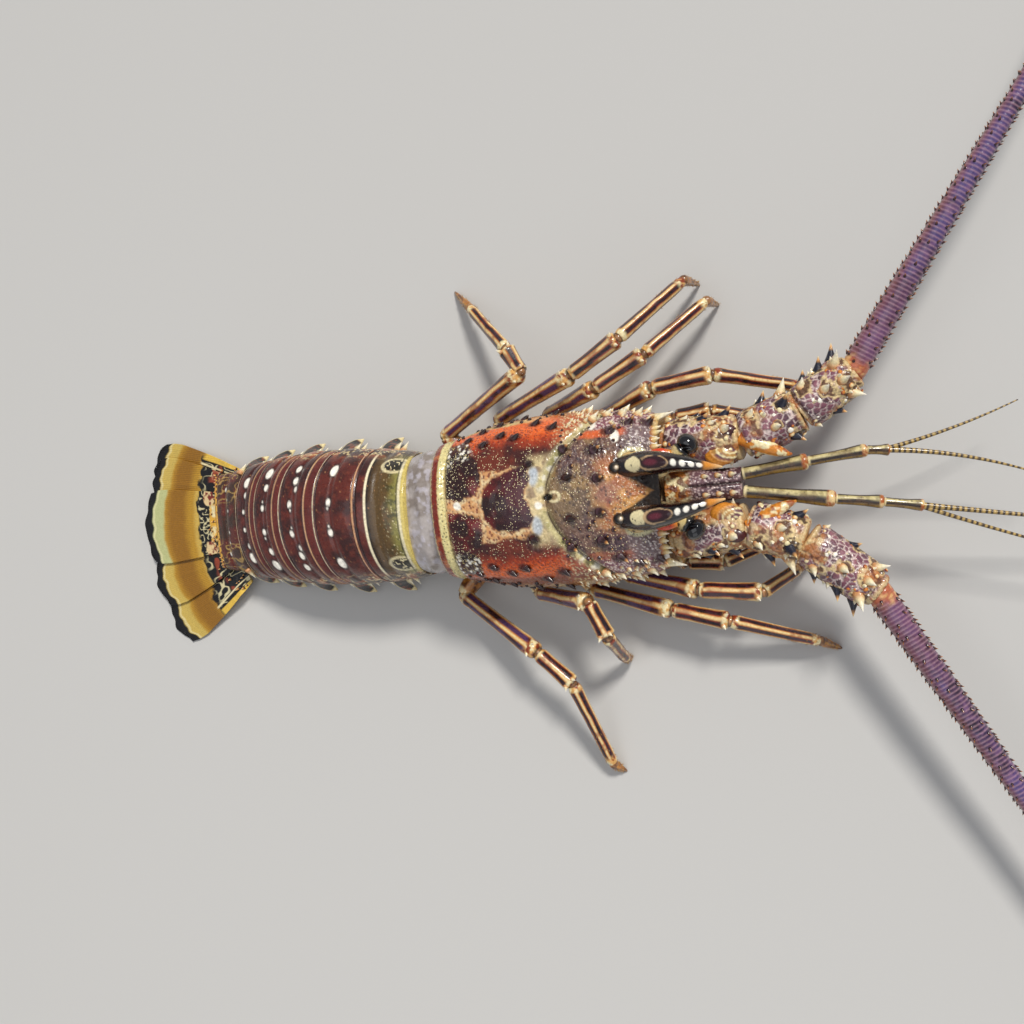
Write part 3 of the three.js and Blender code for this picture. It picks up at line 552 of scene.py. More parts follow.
# Dark patches of the back: distance ahead and distance round from the midline
PATCHES = [
    [(7, 6), (7, 20), (8, 33), (18, 38), (27, 33), (33, 24), (33, 14), (29, 7), (21, 4.5), (14, 6)],
    [(8, -2.5), (16, -3), (24, -5), (31, -8), (32.5, -17), (28, -26), (18, -33), (8, -33), (7, -20)],
    [
        (32, 1), (35, 10), (41, 16.5), (51, 19.5), (60, 22.5), (65, 20), (67.5, 14), (64, 9), (62.5, 3.5),
        (65, -2), (68, -9), (64, -15), (54, -17.5), (44, -16.5), (37, -12), (33.5, -7),
    ],
]


def inside(x, y, corners):
    """How far inside a closed outline each point is, below zero outside."""
    distance = np.full(x.shape, 1e9)
    within = np.zeros(x.shape, bool)
    for (ax, ay), (bx, by) in zip(corners, corners[1:] + corners[:1]):
        share = ((x - ax) * (bx - ax) + (y - ay) * (by - ay)) / ((bx - ax) ** 2 + (by - ay) ** 2)
        share = np.clip(share, 0, 1)
        distance = np.minimum(distance, np.hypot(x - ax - share * (bx - ax), y - ay - share * (by - ay)))
        crosses = (ay > y) != (by > y)
        slope = (bx - ax) / (by - ay) if by != ay else 0.0
        within ^= crosses & (x < slope * (y - ay) + ax)
    return np.where(within, distance, -distance)


def groove_line(reach):
    """Where the cervical groove lies, by the distance round from the midline."""
    return 74.3 + 40 * np.tanh(0.0145 * reach**2 / 40)


def carapace_section(x):
    rise = along(RIM, x)
    half = along(CARAPACE_WIDTHS, x) * HALF_WIDTH + rise
    top = along(CARAPACE_TOPS, x) * TOP + rise
    return half, top, WIDEST, UNDERSIDE, 0.0


def carapace_paint(points, reach):
    """The carapace's colours, its grit and its share of pale dots at each point."""
    x = points[..., 0]
    side = np.abs(reach)
    ragged = 2.6 * (layered(points, 7) - 0.5)
    fringe = 4.2 * (layered(points, 4.5, 31) - 0.5)
    mottle = layered(points, 9, 3)
    ahead = x - groove_line(reach)

    left = smooth(reach, -1, 1)
    colours = blend(points, NET, PEACH, mottle)
    colours = painted(
        colours,
        (CREAM, patches(points, 3.5, 4, 0.52, 0.64) * 0.5),
        ("6a1f14", pores(x, reach, 2.3, 0.3, 0.8, 5) * 0.9),
    )
    flank = smooth(side + 1.2 * fringe - 0.06 * np.abs(x - 50), 20.5, 22.5)
    shaded = blend(points, "3f1512", "6e2a18", smooth(mottle, 0.4, 0.7))
    colours = over(colours, shaded, flank)
    far = side + 4 * ragged + 0.1 * np.abs(x - 50) - 3 * left
    orange = smooth(far, 31, 41)
    vivid = blend(points, "b33d10", "e8661e", smooth(far, 37, 47))
    colours = painted(
        colours,
        (vivid, orange),
        ("7a2110", orange * pores(x, reach, 1.7, 0.3, 0.75, 8) * smooth(far, 62, 42)),
        ("e8904a", orange * pores(x, reach, 2.1, 0.2, 0.4, 6) * 0.5),
        # Painted shade: the lower orange of the right side, the side away from the light, is darkened.
        ("3a1410", orange * smooth(reach + 2 * ragged, -47, -54) * 0.8),
        ("e0cf92", band(side + fringe, 56, 64, 2) * (1 - smooth(x, 50, 84)) * left * 0.85),
    )
    dark = np.zeros(x.shape)
    for corners in PATCHES:
        edge = inside(x + fringe, reach + fringe, corners)
        dark = np.maximum(dark, smooth(edge, -0.8, 0.9))
        rim = smooth(edge, -2.6, -1.6) * (1 - smooth(edge, -1.2, -0.4))
        colours = over(colours, CREAM, 0.3 * rim * (1 - flank))
    # Dark patches: deep maroon, purplish towards the middle; the lighter red blotches in them are painted
    # highlight.
    patch_colour_and_sheen = blend(points, "260809", "661313", patches(points, 10, 33, 0.4, 0.62))
    patch_colour_and_sheen = over(patch_colour_and_sheen, "3c1a24", smooth(x, 44, 52) * 0.7)
    colours = over(colours, patch_colour_and_sheen, dark)
    light = smooth(x, 34, 14) * 0.32 + 0.2
    crowd = patches(points, 8, 18, 0.42, 0.6)
    speckled = np.maximum(dark, flank * (1 - orange))
    dots = 2.6 * light * (0.35 + crowd) * speckled * smooth(x, 7, 8)
    corner = smooth(np.hypot((x - 14) * 0.8, side - 38 + 2 * left) + 3 * ragged, 12, 8)
    colours = painted(
        colours,
        (BLACK, corner * 0.92),
        (WHITE, corner * pores(x, reach, 3.0, 0.36, 0.62, 29)),
        ("c9b070", corner * pores(x, reach, 1.7, 0.25, 0.4, 30)),
    )

    # The pale field behind the groove
    pale = smooth(x + ragged, 62, 67) * smooth(ahead, 1.5, -1) * smooth(side, 31, 23) * (1 - dark)
    colours = painted(
        colours,
        ("dcc896", pale * 0.85),
        ("7d5f4e", pale * patches(points, 6, 45, 0.5, 0.62) * 0.75),
        # Painted highlight: a bluish-grey spot of sheen in the pale field.
        (BLUISH_HIGHLIGHT, pale * smooth(np.hypot(x - 68.5, (side - 15) * 0.6), 4.5, 2.5) * 0.85),
    )
    shoulder = smooth(x + 2 * ragged, 76, 88) * smooth(side, 28, 36) * smooth(ahead, 2, -3)
    ruddy = blend(points, "b0603c", "7c3a2c", smooth(mottle, 0.4, 0.65))
    colours = painted(
        colours,
        (ruddy, shoulder * 0.8),
        (CREAM, shoulder * pores(x, reach, 2.0, 0.3, 0.7, 37) * 0.8),
    )

    # The half ahead of the groove
    front = smooth(ahead, -0.6, 0.8)
    face = blend(points, "6a4c40", "452c36", smooth(mottle, 0.4, 0.66))
    olive = smooth(np.hypot(x - 86, reach * 0.9) + 2 * ragged, 22, 8)
    face = painted(
        face,
        ("79623c", olive * 0.7),
        ("a17f48", patches(points, 8, 57, 0.54, 0.66) * smooth(x, 114, 98) * 0.55),
    )
    wedge = smooth(x + 2.5 * ragged, 100, 113) * smooth(side + 1.5 * ragged, 27, 17)
    golden = blend(points, "b06a38", "d69a50", patches(points, 7, 35, 0.4, 0.62))
    face = painted(
        face,
        (golden, wedge * 0.9),
        ("6b3350", smooth(np.hypot(x - 113, reach + 2 * ragged), 10, 3) * 0.6),
    )
    crowd = patches(points, 7, 42, 0.38, 0.6)
    grain = pores(x, reach, 1.45, 0.23, 0.55, 43)
    face = painted(
        face,
        ("d2b49a", grain * (0.25 + 0.5 * crowd)),
        ("2c1a20", pores(x, reach, 3.4, 0.24, 0.5, 44) * 0.7),
    )
    strip = smooth(side + ragged, 39, 44) * smooth(side + ragged, 66, 58) * smooth(x, 98, 108)
    face = painted(
        face,
        ("854b58", strip * 0.85),
        ("ecd6ce", strip * pores(x, reach, 1.9, 0.34, 0.85, 47) * 0.9),
    )
    hot = band(side + ragged, 35.5, 41.5, 1.2) * band(x, 96, 125, 3) * (0.35 + 0.65 * left)
    face = over(face, "d9612a", hot * 0.9)
    # Painted shade: black in the recess round the horn bases, beside the wedge; less grit and no dots there.
    notch_shade = smooth(side - (138.5 - x) * 0.72 + 0.4 * ragged, -0.8, 0.8)
    notch_shade = notch_shade * smooth(x, 117, 119) * smooth(side, 23, 20)
    face = over(face, BLACK, notch_shade * 0.97)
    cheek = smooth(side + ragged, 20, 23) * smooth(x + ragged, 120, 127) * smooth(side, 44, 40)
    face = painted(
        face,
        (blend(points, "7d6668", "5e4a4c", crowd), cheek * 0.75),
        ("e2d4ce", cheek * pores(x, reach, 1.7, 0.3, 0.7, 51) * 0.85),
    )
    brow = smooth(np.hypot((x - 129) * 0.55, side - 22.5) + ragged, 5.2, 3.6)
    face = painted(
        face,
        ("d8cf9e", brow * 0.9),
        (BLACK, brow * pores(x, reach, 1.9, 0.22, 0.75, 49)),
    )
    lip = smooth(x + 0.7 * ragged, 138, 139.6) * smooth(side, 18, 22)
    face = over(face, blend(points, "d9b878", WHITE, smooth(mottle, 0.45, 0.6)), lip * 0.85)
    colours = over(colours, face, front)
    dots = dots * (1 - front) + 0.34 * (0.3 + crowd) * front * (1 - notch_shade) * (1 - brow)
    for x_at, turn, _, radius in CARAPACE_SPINES:
        for sign in (1, -1):
            at, _ = on_carapace(x_at - 1.0, sign * turn)
            near = np.linalg.norm((points - at) * (0.72, 1, 1), axis=-1)
            halo = smooth(near + 0.8 * ragged, radius * 1.25 + 1.0, radius * 0.8) * 0.85
            colours = over(colours, DEEP, halo)

    # Groove, its pale banks and patches
    bank = np.exp(-((ahead + 1.5) / 3.2) ** 2) * smooth(side, 2, 9)
    bank = bank * smooth(side, 78, 60)
    colours = painted(
        colours,
        ("cdc28c", bank * (0.75 + 0.25 * mottle)),
        ("87824a", bank * patches(points, 5, 55, 0.5, 0.6) * 0.65),
        (WHITE, bank * patches(points, 6, 56, 0.57, 0.64) * 0.7),
        # Painted shade along the bottom of the groove.
        (DEEP, np.exp(-((ahead - 0.4) / 1.1) ** 2) * smooth(side, 4, 9) * 0.9),
    )
    for spot_x, spot_reach, size in ((70.4, -2.9, 2.8), (15.4, 1.8, 3.3), (118.5, 35.5, 3.2), (104, 46, 3)):
        near = np.hypot(x - spot_x, (reach - spot_reach) * (1.0 if spot_x < 100 else 0.6))
        colours = over(colours, WHITE, smooth(near + fringe * 0.3, size, size - 1.2))
    hole = np.hypot((x - 76.5) / 1.7, reach - 1.5)
    colours = painted(
        colours,
        (CREAM, band(np.hypot((x - 81) / 1.2, reach - 1.5), 2, 3.6, 0.5) * 0.8),
        # Painted shade: the pit in the groove is filled with black.
        (BLACK, smooth(hole, 2.6, 1.7)),
    )

    # Lower walls and the rim
    wall = smooth(side + 3 * ragged, 58, 68)
    low = blend(points, "b5824e", CREAM, smooth(mottle, 0.4, 0.7) * 0.7)
    low = over(low, "5d3a28", specks(points, 2.6, 0.33, 0.6, 53))
    colours = over(colours, low, wall * 0.85)
    creamy = band(x, 1.6, 6.6, 0.5)
    colours = painted(
        colours,
        ("d9cb8e", creamy),
        (BLACK, creamy * specks(points, 1.5, 0.26, 0.6, 59)),
    )
    brick = band(x, REAR_EDGE - 2, 1.5, 0.4)
    rusted = blend(points, "7c2413", "c06f3c", smooth(mottle, 0.55, 0.7))
    colours = painted(
        colours,
        (rusted, brick),
        (CREAM, band(x, REAR_EDGE - 2, REAR_EDGE + 0.7, 0.3)),
    )
    grit = np.clip(0.3 + 0.6 * front + 0.3 * wall + dark * 0.1, 0, 1) * (1 - 0.95 * notch_shade)
    return colours, grit, dots


def carapace_shape(grid, reach):
    """Raised and sunk detail of the carapace, in mm along its normals."""
    x = grid[..., 0]
    side = np.abs(reach)
    ahead = x - groove_line(reach)
    deep = -2.2 * np.exp(-((ahead / 3.2) ** 2)) * smooth(side, 86, 70)
    deep += -0.6 * np.exp(-(((ahead + 0.2) / 1.0) ** 2)) * smooth(side, 70, 60)
    deep += -2.2 * smooth(np.hypot((x - 76.5) / 1.7, reach - 1.5), 2.6, 0.8)
    raised = np.zeros(x.shape)
    for corners in PATCHES:
        raised = np.maximum(raised, smooth(inside(x, reach, corners), 0, 6))
    lines = 0.9 * raised * (0.6 + layered(grid, 9, 63)) * (1 - smooth(ahead, -4, 0))
    low = 0.5 * (layered(grid, 12, 61) - 0.5) - 0.35 * pores(x, reach, 2.3, 0.3, 0.8, 5) * (1 - raised)
    first, _, tone = cells(grid, 2.6, 67)
    front = smooth(ahead, 0, 6) * smooth(side, 84, 70)
    granules = smooth(first, 0.42, 0.1) * (0.35 + 0.4 * tone) * front
    first, _, tone = cells(grid, 3.4, 71)
    pimples = smooth(first, 0.34, 0.1) * 0.4 * (tone < 0.5) * (1 - front) * smooth(side, 84, 70)
    return deep + lines + low + granules + pimples


def on_carapace(x, round_angle):
    """A point on the bare carapace and the direction out of it."""
    angle = math.pi / 2 - np.radians(np.asarray(round_angle, float))
    half, top, _, _, _ = carapace_section(np.asarray(x, float))
    y = half * power(np.cos(angle), SIDE_POWER)
    z = WIDEST + (top - WIDEST) * power(np.sin(angle), SIDE_POWER)
    outward = np.stack([np.zeros_like(y), np.cos(angle), np.sin(angle)], axis=-1)
    return np.stack([x + 0 * y, y, z], axis=-1), outward


def scattered_spines(coat, number, x_range, round_range, length, radius, stops, seed, profile=SPINE):
    """Seeded small spines over a part of the carapace, on both sides."""
    draw = np.random.default_rng(seed)
    x = draw.uniform(*x_range, number)
    turn = draw.uniform(*round_range, number) * draw.choice([-1, 1], number)
    at, outward = on_carapace(x, turn)
    lean = outward + (0.8, 0, 0)
    size = draw.uniform(0.7, 1.25, number)
    add_studs(coat, at - 0.2 * outward, lean, length * size, radius * size, profile, stops, sides=8)


def make_carapace():
    """The carapace's shell with its spines, and its share of pale dots as an attribute."""
    coat = Coat()
    rows, across, below = 240, 136, 9
    x = np.linspace(REAR_EDGE, FRONT_EDGE, rows)[:, None] + np.zeros((1, 2 * across + 1 + below))
    grid, reach = arch_points(x, carapace_section, across, below)
    shaped = raised(grid, carapace_shape(grid, reach))
    shaped[..., 2] = np.maximum(shaped[..., 2], UNDERSIDE)
    colours, grit, dots = carapace_paint(grid, reach)
    closed, rows = dished_ends(shaped, 2.5)
    add_tube(coat, closed, padded(colours, rows), padded(grit, rows))
    for side in (1, -1):
        for x_at, turn, length, radius in CARAPACE_SPINES:
            at, outward = on_carapace(x_at, side * turn)
            if x_at < 82 or (x_at < 92 and turn < 20):
                place = at - 0.5 * outward - (0.8, 0, 0)
                lean = outward + (1.0, 0, 0)
                add_studs(coat, place, lean, length * 1.5, radius * 0.72, THORN, DARK_KNOB, 14)
            else:
                stops, wide = (WARM_SPINE, radius * 0.8) if turn < 58 else (PALE_SPINE, radius)
                lean = outward + (0.9, 0, 0)
                add_studs(coat, at - 0.4 * outward, lean, length, wide, SPINE, stops, 14)
        turns, lengths = (np.array(row) for row in zip(*EDGE_SPINES))
        at, outward = on_carapace(np.full(len(turns), FRONT_EDGE - 2.5), side * turns)
        lean = 0.35 * outward + (1.0, 0, 0)
        add_studs(coat, at - 1.2 * outward, lean, lengths, 2.3, SPINE, EDGE_SPINE, 12)
        corner = np.array([FRONT_EDGE - 5, side * 43.0, 56.0])
        add_studs(coat, corner, (0.96, side * 0.22, 0.15), 15, 3.6, SPINE, PALE_SPINE, 16)
    scattered_spines(coat, 90, (84, 138), (50, 84), 2.6, 1.1, PALE_SPINE, 3)
    scattered_spines(coat, 36, (84, 122), (8, 50), 2.2, 1.1, WARM_SPINE, 5)
    scattered_spines(coat, 46, (12, 84), (64, 92), 1.6, 1.1, DARK_KNOB, 7, KNOB)
    piece = coat.build("shell_carapace", DOTTED_SHELL, ["carapace"])
    shares = np.zeros(len(piece.data.vertices))
    spread = padded(dots, rows).ravel()
    shares[: len(spread)] = spread
    piece.data.attributes.new("dots", "FLOAT", "POINT").data.foreach_set("value", shares)


# Limbs
def limb_points(stations, sides, spacing, first_direction=None):
    """Rings along stations (point, half width, half height), eased between them.

    With the grid come the share of the length and the angle round at each of its points, and the
    distance of each ring from the start.
    """
    at = np.array([s[0] for s in stations], float)
    sizes = np.array([s[1:] for s in stations], float)
    reach = np.concatenate([[0], np.cumsum(np.linalg.norm(np.diff(at, axis=0), axis=1))])
    rows = max(4, int(round(reach[-1] / spacing)) + 1)
    where = np.linspace(0, reach[-1], rows)
    path = np.stack([along(np.stack([reach, at[:, c]], 1), where) for c in range(3)], 1)
    size = np.stack([along(np.stack([reach, sizes[:, c]], 1), where) for c in range(2)], 1)
    direction = unit(np.gradient(path, axis=0))
    if first_direction is not None:
        direction[0] = unit(np.asarray(first_direction, float))
    side = unit(np.cross((0, 0, 1.0), direction))
    upward = np.cross(direction, side)
    angle = 2 * np.pi * (np.arange(sides) + 0.5) / sides
    grid = path[:, None] + side[:, None] * (size[:, :1] * np.cos(angle))[..., None]
    grid = grid + upward[:, None] * (size[:, 1:] * np.sin(angle))[..., None]
    share = (where / where[-1])[:, None] + 0 * grid[..., 0]
    return grid, share, angle[None, :] + 0 * share, where


def horn(side):
    """The brow horn of one side, with its pattern, the knob behind it and the lobe beside it."""
    coat = Coat()
    stations = [
        ((122, side * 15, 78), 7, 8), ((134, side * 15.5, 84), 7.5, 9), ((146, side * 15, 91), 6.5, 8),
        ((157, side * 13.5, 95.5), 4.8, 6), ((169, side * 11, 95), 3, 3.6), ((181, side * 9, 90.5), 0.5, 0.6),
    ]
    grid, _, angle, _ = limb_points(stations, 56, 0.5)
    x = grid[..., 0]
    top = np.abs(np.degrees(angle) - 90)
    top = np.minimum(top, 360 - top)
    ragged = 1.6 * (layered(grid, 4, 3) - 0.5)
    colours = blend(grid, BLACK, DEEP, patches(grid, 5, 5, 0.4, 0.7) * 0.7)
    creamy = smooth(np.hypot((x - 131) / 5.2, (top + 9 * ragged) / 36) + 0.12 * ragged, 1.05, 0.9)
    colours = painted(
        colours,
        (CREAM, creamy),
        (BLACK, creamy * specks(grid, 2.8, 0.22, 0.7, 7)),
    )
    frame_of_oval = smooth(np.hypot((x - 143.6) / 9.2, (top + 8 * ragged) / 42), 1.05, 0.95)
    colours = over(colours, "cba87c", frame_of_oval * patches(grid, 5, 8, 0.36, 0.5) * 0.9)
    oval = smooth(np.hypot((x - 144.3) / 7.6, (top + 4 * ragged) / 35), 1.08, 0.94)
    colours = painted(
        colours,
        ("2c0d16", oval),
        ("6b2434", smooth(np.hypot((x - 142) / 4, top / 16), 1.4, 0.6) * oval * 0.8),
        ("7c3a1e", smooth(top, 96, 112) * patches(grid, 6, 10, 0.45, 0.6) * 0.8),
    )
    for spot in (155.5, 160.5, 165.3, 169.6):
        near = np.hypot(x - spot, top * 0.07)
        colours = over(colours, WHITE, smooth(near, 1.95, 1.45))
    tip = smooth(x + ragged, 170, 173)
    colours = over(colours, blend(grid, AMBER, CREAM, smooth(x, 174, 181) * 0.5), tip)
    ridges = 0.35 * (layered(grid, 3.2, 9) - 0.5)
    grid = raised(grid, ridges)
    add_tube(coat, grid, colours, 0.25)
    name = "left" if side > 0 else "right"
    rear = np.array([118.5, side * 15.0, 84.3])
    dotted = [(-0.6, BLACK), (0.86, BLACK), (0.96, "e8c9a0"), (1, WHITE)]
    add_studs(coat, rear, (0.5, 0, 1), 4.5, 3.8, KNOB, dotted, 20)
    lobe = dome((126, side * 20.5, 79), (6.5, 3.6, 5.5), (1, side * 0.25, 0.3))
    tone = blend(lobe, "caa86c", BLACK, patches(lobe, 3, 11, 0.5, 0.6))
    add_tube(coat, lobe, tone, 0.3)
    coat.build(f"brow_horn_{name}", HORNY, [f"horn_{name}"])


def eye(side):
    """The stalk of one eye with the red skin behind it, and its dark globe as a piece of its own."""
    name = "left" if side > 0 else "right"
    middle = np.array([160.0, side * 25.3, 70.5])
    coat = Coat()
    stations = [
        ((136, side * 9, 70), 4, 4),
        ((143, side * 12, 70.3), 4.6, 4.6),
        ((148, side * 15, 70.5), 4.2, 4.2),
        ((153.5, side * 19, 70.5), 5.2, 5.2),
        ((156, side * 21.5, 70.5), 6.0, 6.0),
        ((157, side * 22.4, 70.5), 5.4, 5.4),
    ]
    grid = limb_points(stations, 48, 0.6)[0]
    colours = blend(grid, "d9b45c", CREAM, layered(grid, 4, 13))
    colours = over(colours, BLACK, patches(grid, 3.5, 15, 0.56, 0.64) * 0.9)
    from_globe = np.linalg.norm(grid - middle, axis=-1) + 2 * layered(grid, 3, 17)
    colours = over(colours, BLACK, smooth(from_globe, 9.8, 9.2))
    add_tube(coat, grid, colours, 0.3)
    patch = [
        ((136, side * 20, 75), 2.2, 2),
        ((143, side * 21, 75.5), 3.2, 2.4),
        ((150, side * 20, 74), 2.6, 2),
    ]
    grid = limb_points(patch, 24, 0.7)[0]
    hot = blend(grid, "d8401a", AMBER, smooth(grid[..., 0], 146, 151))
    add_tube(coat, grid, hot, 0.1)
    coat.build(f"eye_stalk_{name}", HORNY, [f"eye_{name}"])

    globe = Coat()
    rows, columns = 34, 48
    polar = np.linspace(0.02, math.pi - 0.02, rows)[:, None]
    turn = 2 * np.pi * np.arange(columns)[None, :] / columns
    axis = unit(np.array([7.1, side * 7.5, 0.0]))
    across = unit(np.cross((0, 0, 1.0), axis))
    ring = np.sin(polar)[..., None] * (np.cos(turn)[..., None] * across + np.sin(turn)[..., None] * (0, 0, 1))
    grid = middle + 6.75 * ring - 5.6 * np.cos(polar)[..., None] * axis
    shade = blend(grid, "040405", "101018", noise(grid, 3, 19))
    add_tube(globe, grid, shade, 0.0)
    globe.build(f"cornea_{name}", CORNEA, [f"eye_{name}"])


# Antennular plate
PLATE_FRONT = 187.0


def make_plate():
    coat = Coat()

    def section(x):
        share = (x - FRONT_EDGE - 0.3) / (PLATE_FRONT - FRONT_EDGE - 0.3)
        top = along([(FRONT_EDGE, 62), (160, 61), (176, 60), (PLATE_FRONT, 57)], x)
        return 11 - 1.8 * share, top, 48.0, 26 + 9 * share, 0.0

    rows, across, below = 80, 42, 5
    x = np.linspace(FRONT_EDGE + 0.3, PLATE_FRONT, rows)[:, None] + np.zeros((1, 2 * across + 1 + below))
    grid, reach = arch_points(x, section, across, below)
    side = np.abs(reach)
    first, _, tone = cells(grid, 1.6, 83)
    lift = smooth(first, 0.5, 0.1) * (0.35 + 0.35 * tone)
    lift = lift - 1.9 * np.exp(-((side / 1.1) ** 2)) * smooth(x, 152, 160)
    colours = blend(grid, "6d4e56", "4a303a", patches(grid, 6, 85, 0.4, 0.65))
    colours = over(colours, "d3bcb8", smooth(first, 0.5, 0.34) * (tone < 0.85) * 0.85)
    rear = smooth(x + 3 * layered(grid, 4, 87), 161, 154)
    colours = painted(
        colours,
        (blend(grid, "b8742f", CREAM, patches(grid, 3.4, 88, 0.46, 0.56)), rear),
        ("5c2412", rear * patches(grid, 4, 89, 0.52, 0.6) * 0.9),
        # Painted shade along the midline groove of the plate.
        (DEEP, np.exp(-((side / 0.9) ** 2)) * smooth(x, 152, 158)),
    )
    shaped = raised(grid, lift)
    closed, rows = dished_ends(shaped, 0.0)
    add_tube(coat, closed, padded(colours, rows), 0.6)
    for side in (1, -1):
        for x_at in (166, 174, 182):
            add_studs(coat, (x_at, side * 5.5, 59.5), (0.8, 0, 0.7), 4.5, 1.5, SPINE, PALE_SPINE, 10)
    coat.build("antennular_plate_shell", ROUGH_HEAD, ["antennular_plate"])


# Antennae
ANTENNAE = {
    "left": {
        "side": 1,
        "joints": [(142.3, 28.5, 42), (189, 26.5, 48), (223.5, 38.7, 51), (254.4, 57.7, 53)],
        "heading": (54.6, 70.0),
        "pitch": (5.0, -13.0),
    },
    "right": {
        "side": -1,
        "joints": [(142.3, -28.5, 42), (188, -25, 48), (220, -36.9, 50), (257.3, -70, 46)],
        "heading": (-61.0, -78.0),
        "pitch": (-2.0, -6.0),
    },
}
ARTICLE_WIDE = (14.5, 14.0, 13.0)
ARTICLE_HIGH = (17.0, 14.5, 12.5)
ARTICLE_SWELL = [(0, 0.84), (0.14, 1.0), (0.5, 1.02), (0.86, 0.98), (1.0, 0.86)]
# Share of the article's length, angle round from the top to the outer side, length and radius
ARTICLE_SPINES = [
    [
        (0.3, 62, 5, 2.6), (0.55, 58, 6, 3), (0.86, 22, 6, 2.8), (0.8, 75, 8, 3), (0.68, 40, 4, 2.4),
        (0.42, 88, 6, 2.6),
    ],
    [
        (0.3, 40, 6, 2.6), (0.5, 85, 8, 3), (0.6, -15, 6, 2.6), (0.84, 30, 9, 3), (0.84, 80, 10, 3.2),
        (0.8, -70, 7, 2.8), (0.35, -80, 5, 2.5), (0.7, 120, 7, 2.8),
    ],
    [
        (0.25, 50, 6, 2.6), (0.3, 95, 7, 2.8), (0.5, 0, 6, 2.6), (0.6, 70, 8, 2.8), (0.84, 40, 10, 3),
        (0.84, 95, 10, 3), (0.8, -60, 8, 2.8), (0.45, -85, 6, 2.6), (0.8, -10, 7, 2.6),
    ],
]
# Stops and number of the small spines, knobs and granules of each article
ARTICLE_STUDS = list(zip(KNOBS + [PALE_SPINE, GRANULE, GRANULE], (9, 10, 9, 8, 14, 14, 40, 40)))
# Angle round from the top, and gap in mm, of the rows of small spines along a whip
WHIP_ROWS = ((80, 4.0), (-80, 4.0), (112, 5.0), (-112, 5.0), (48, 8.0), (-48, 8.0), (8, 12.0))
ANTENNA_LENGTH, ANTENNA_RADIUS, FLAGELLUM_STEPS = 470.0, 7.2, 36


def limb_point(start, end, share, wide, high, turn, side):
    """A point on a limb's skin, the direction out of it and the direction along the limb."""
    start, end = np.array(start, float), np.array(end, float)
    direction = unit(end - start)
    across = unit(np.cross((0, 0, 1.0), direction)) * side
    upward = np.cross(direction, across) * side
    angle = np.radians(np.asarray(turn, float))
    outward = across * (wide * np.sin(angle))[..., None] + upward * (high * np.cos(angle))[..., None]
    at = start + (end - start) * np.asarray(share, float)[..., None] + outward
    return at, unit(outward), direction


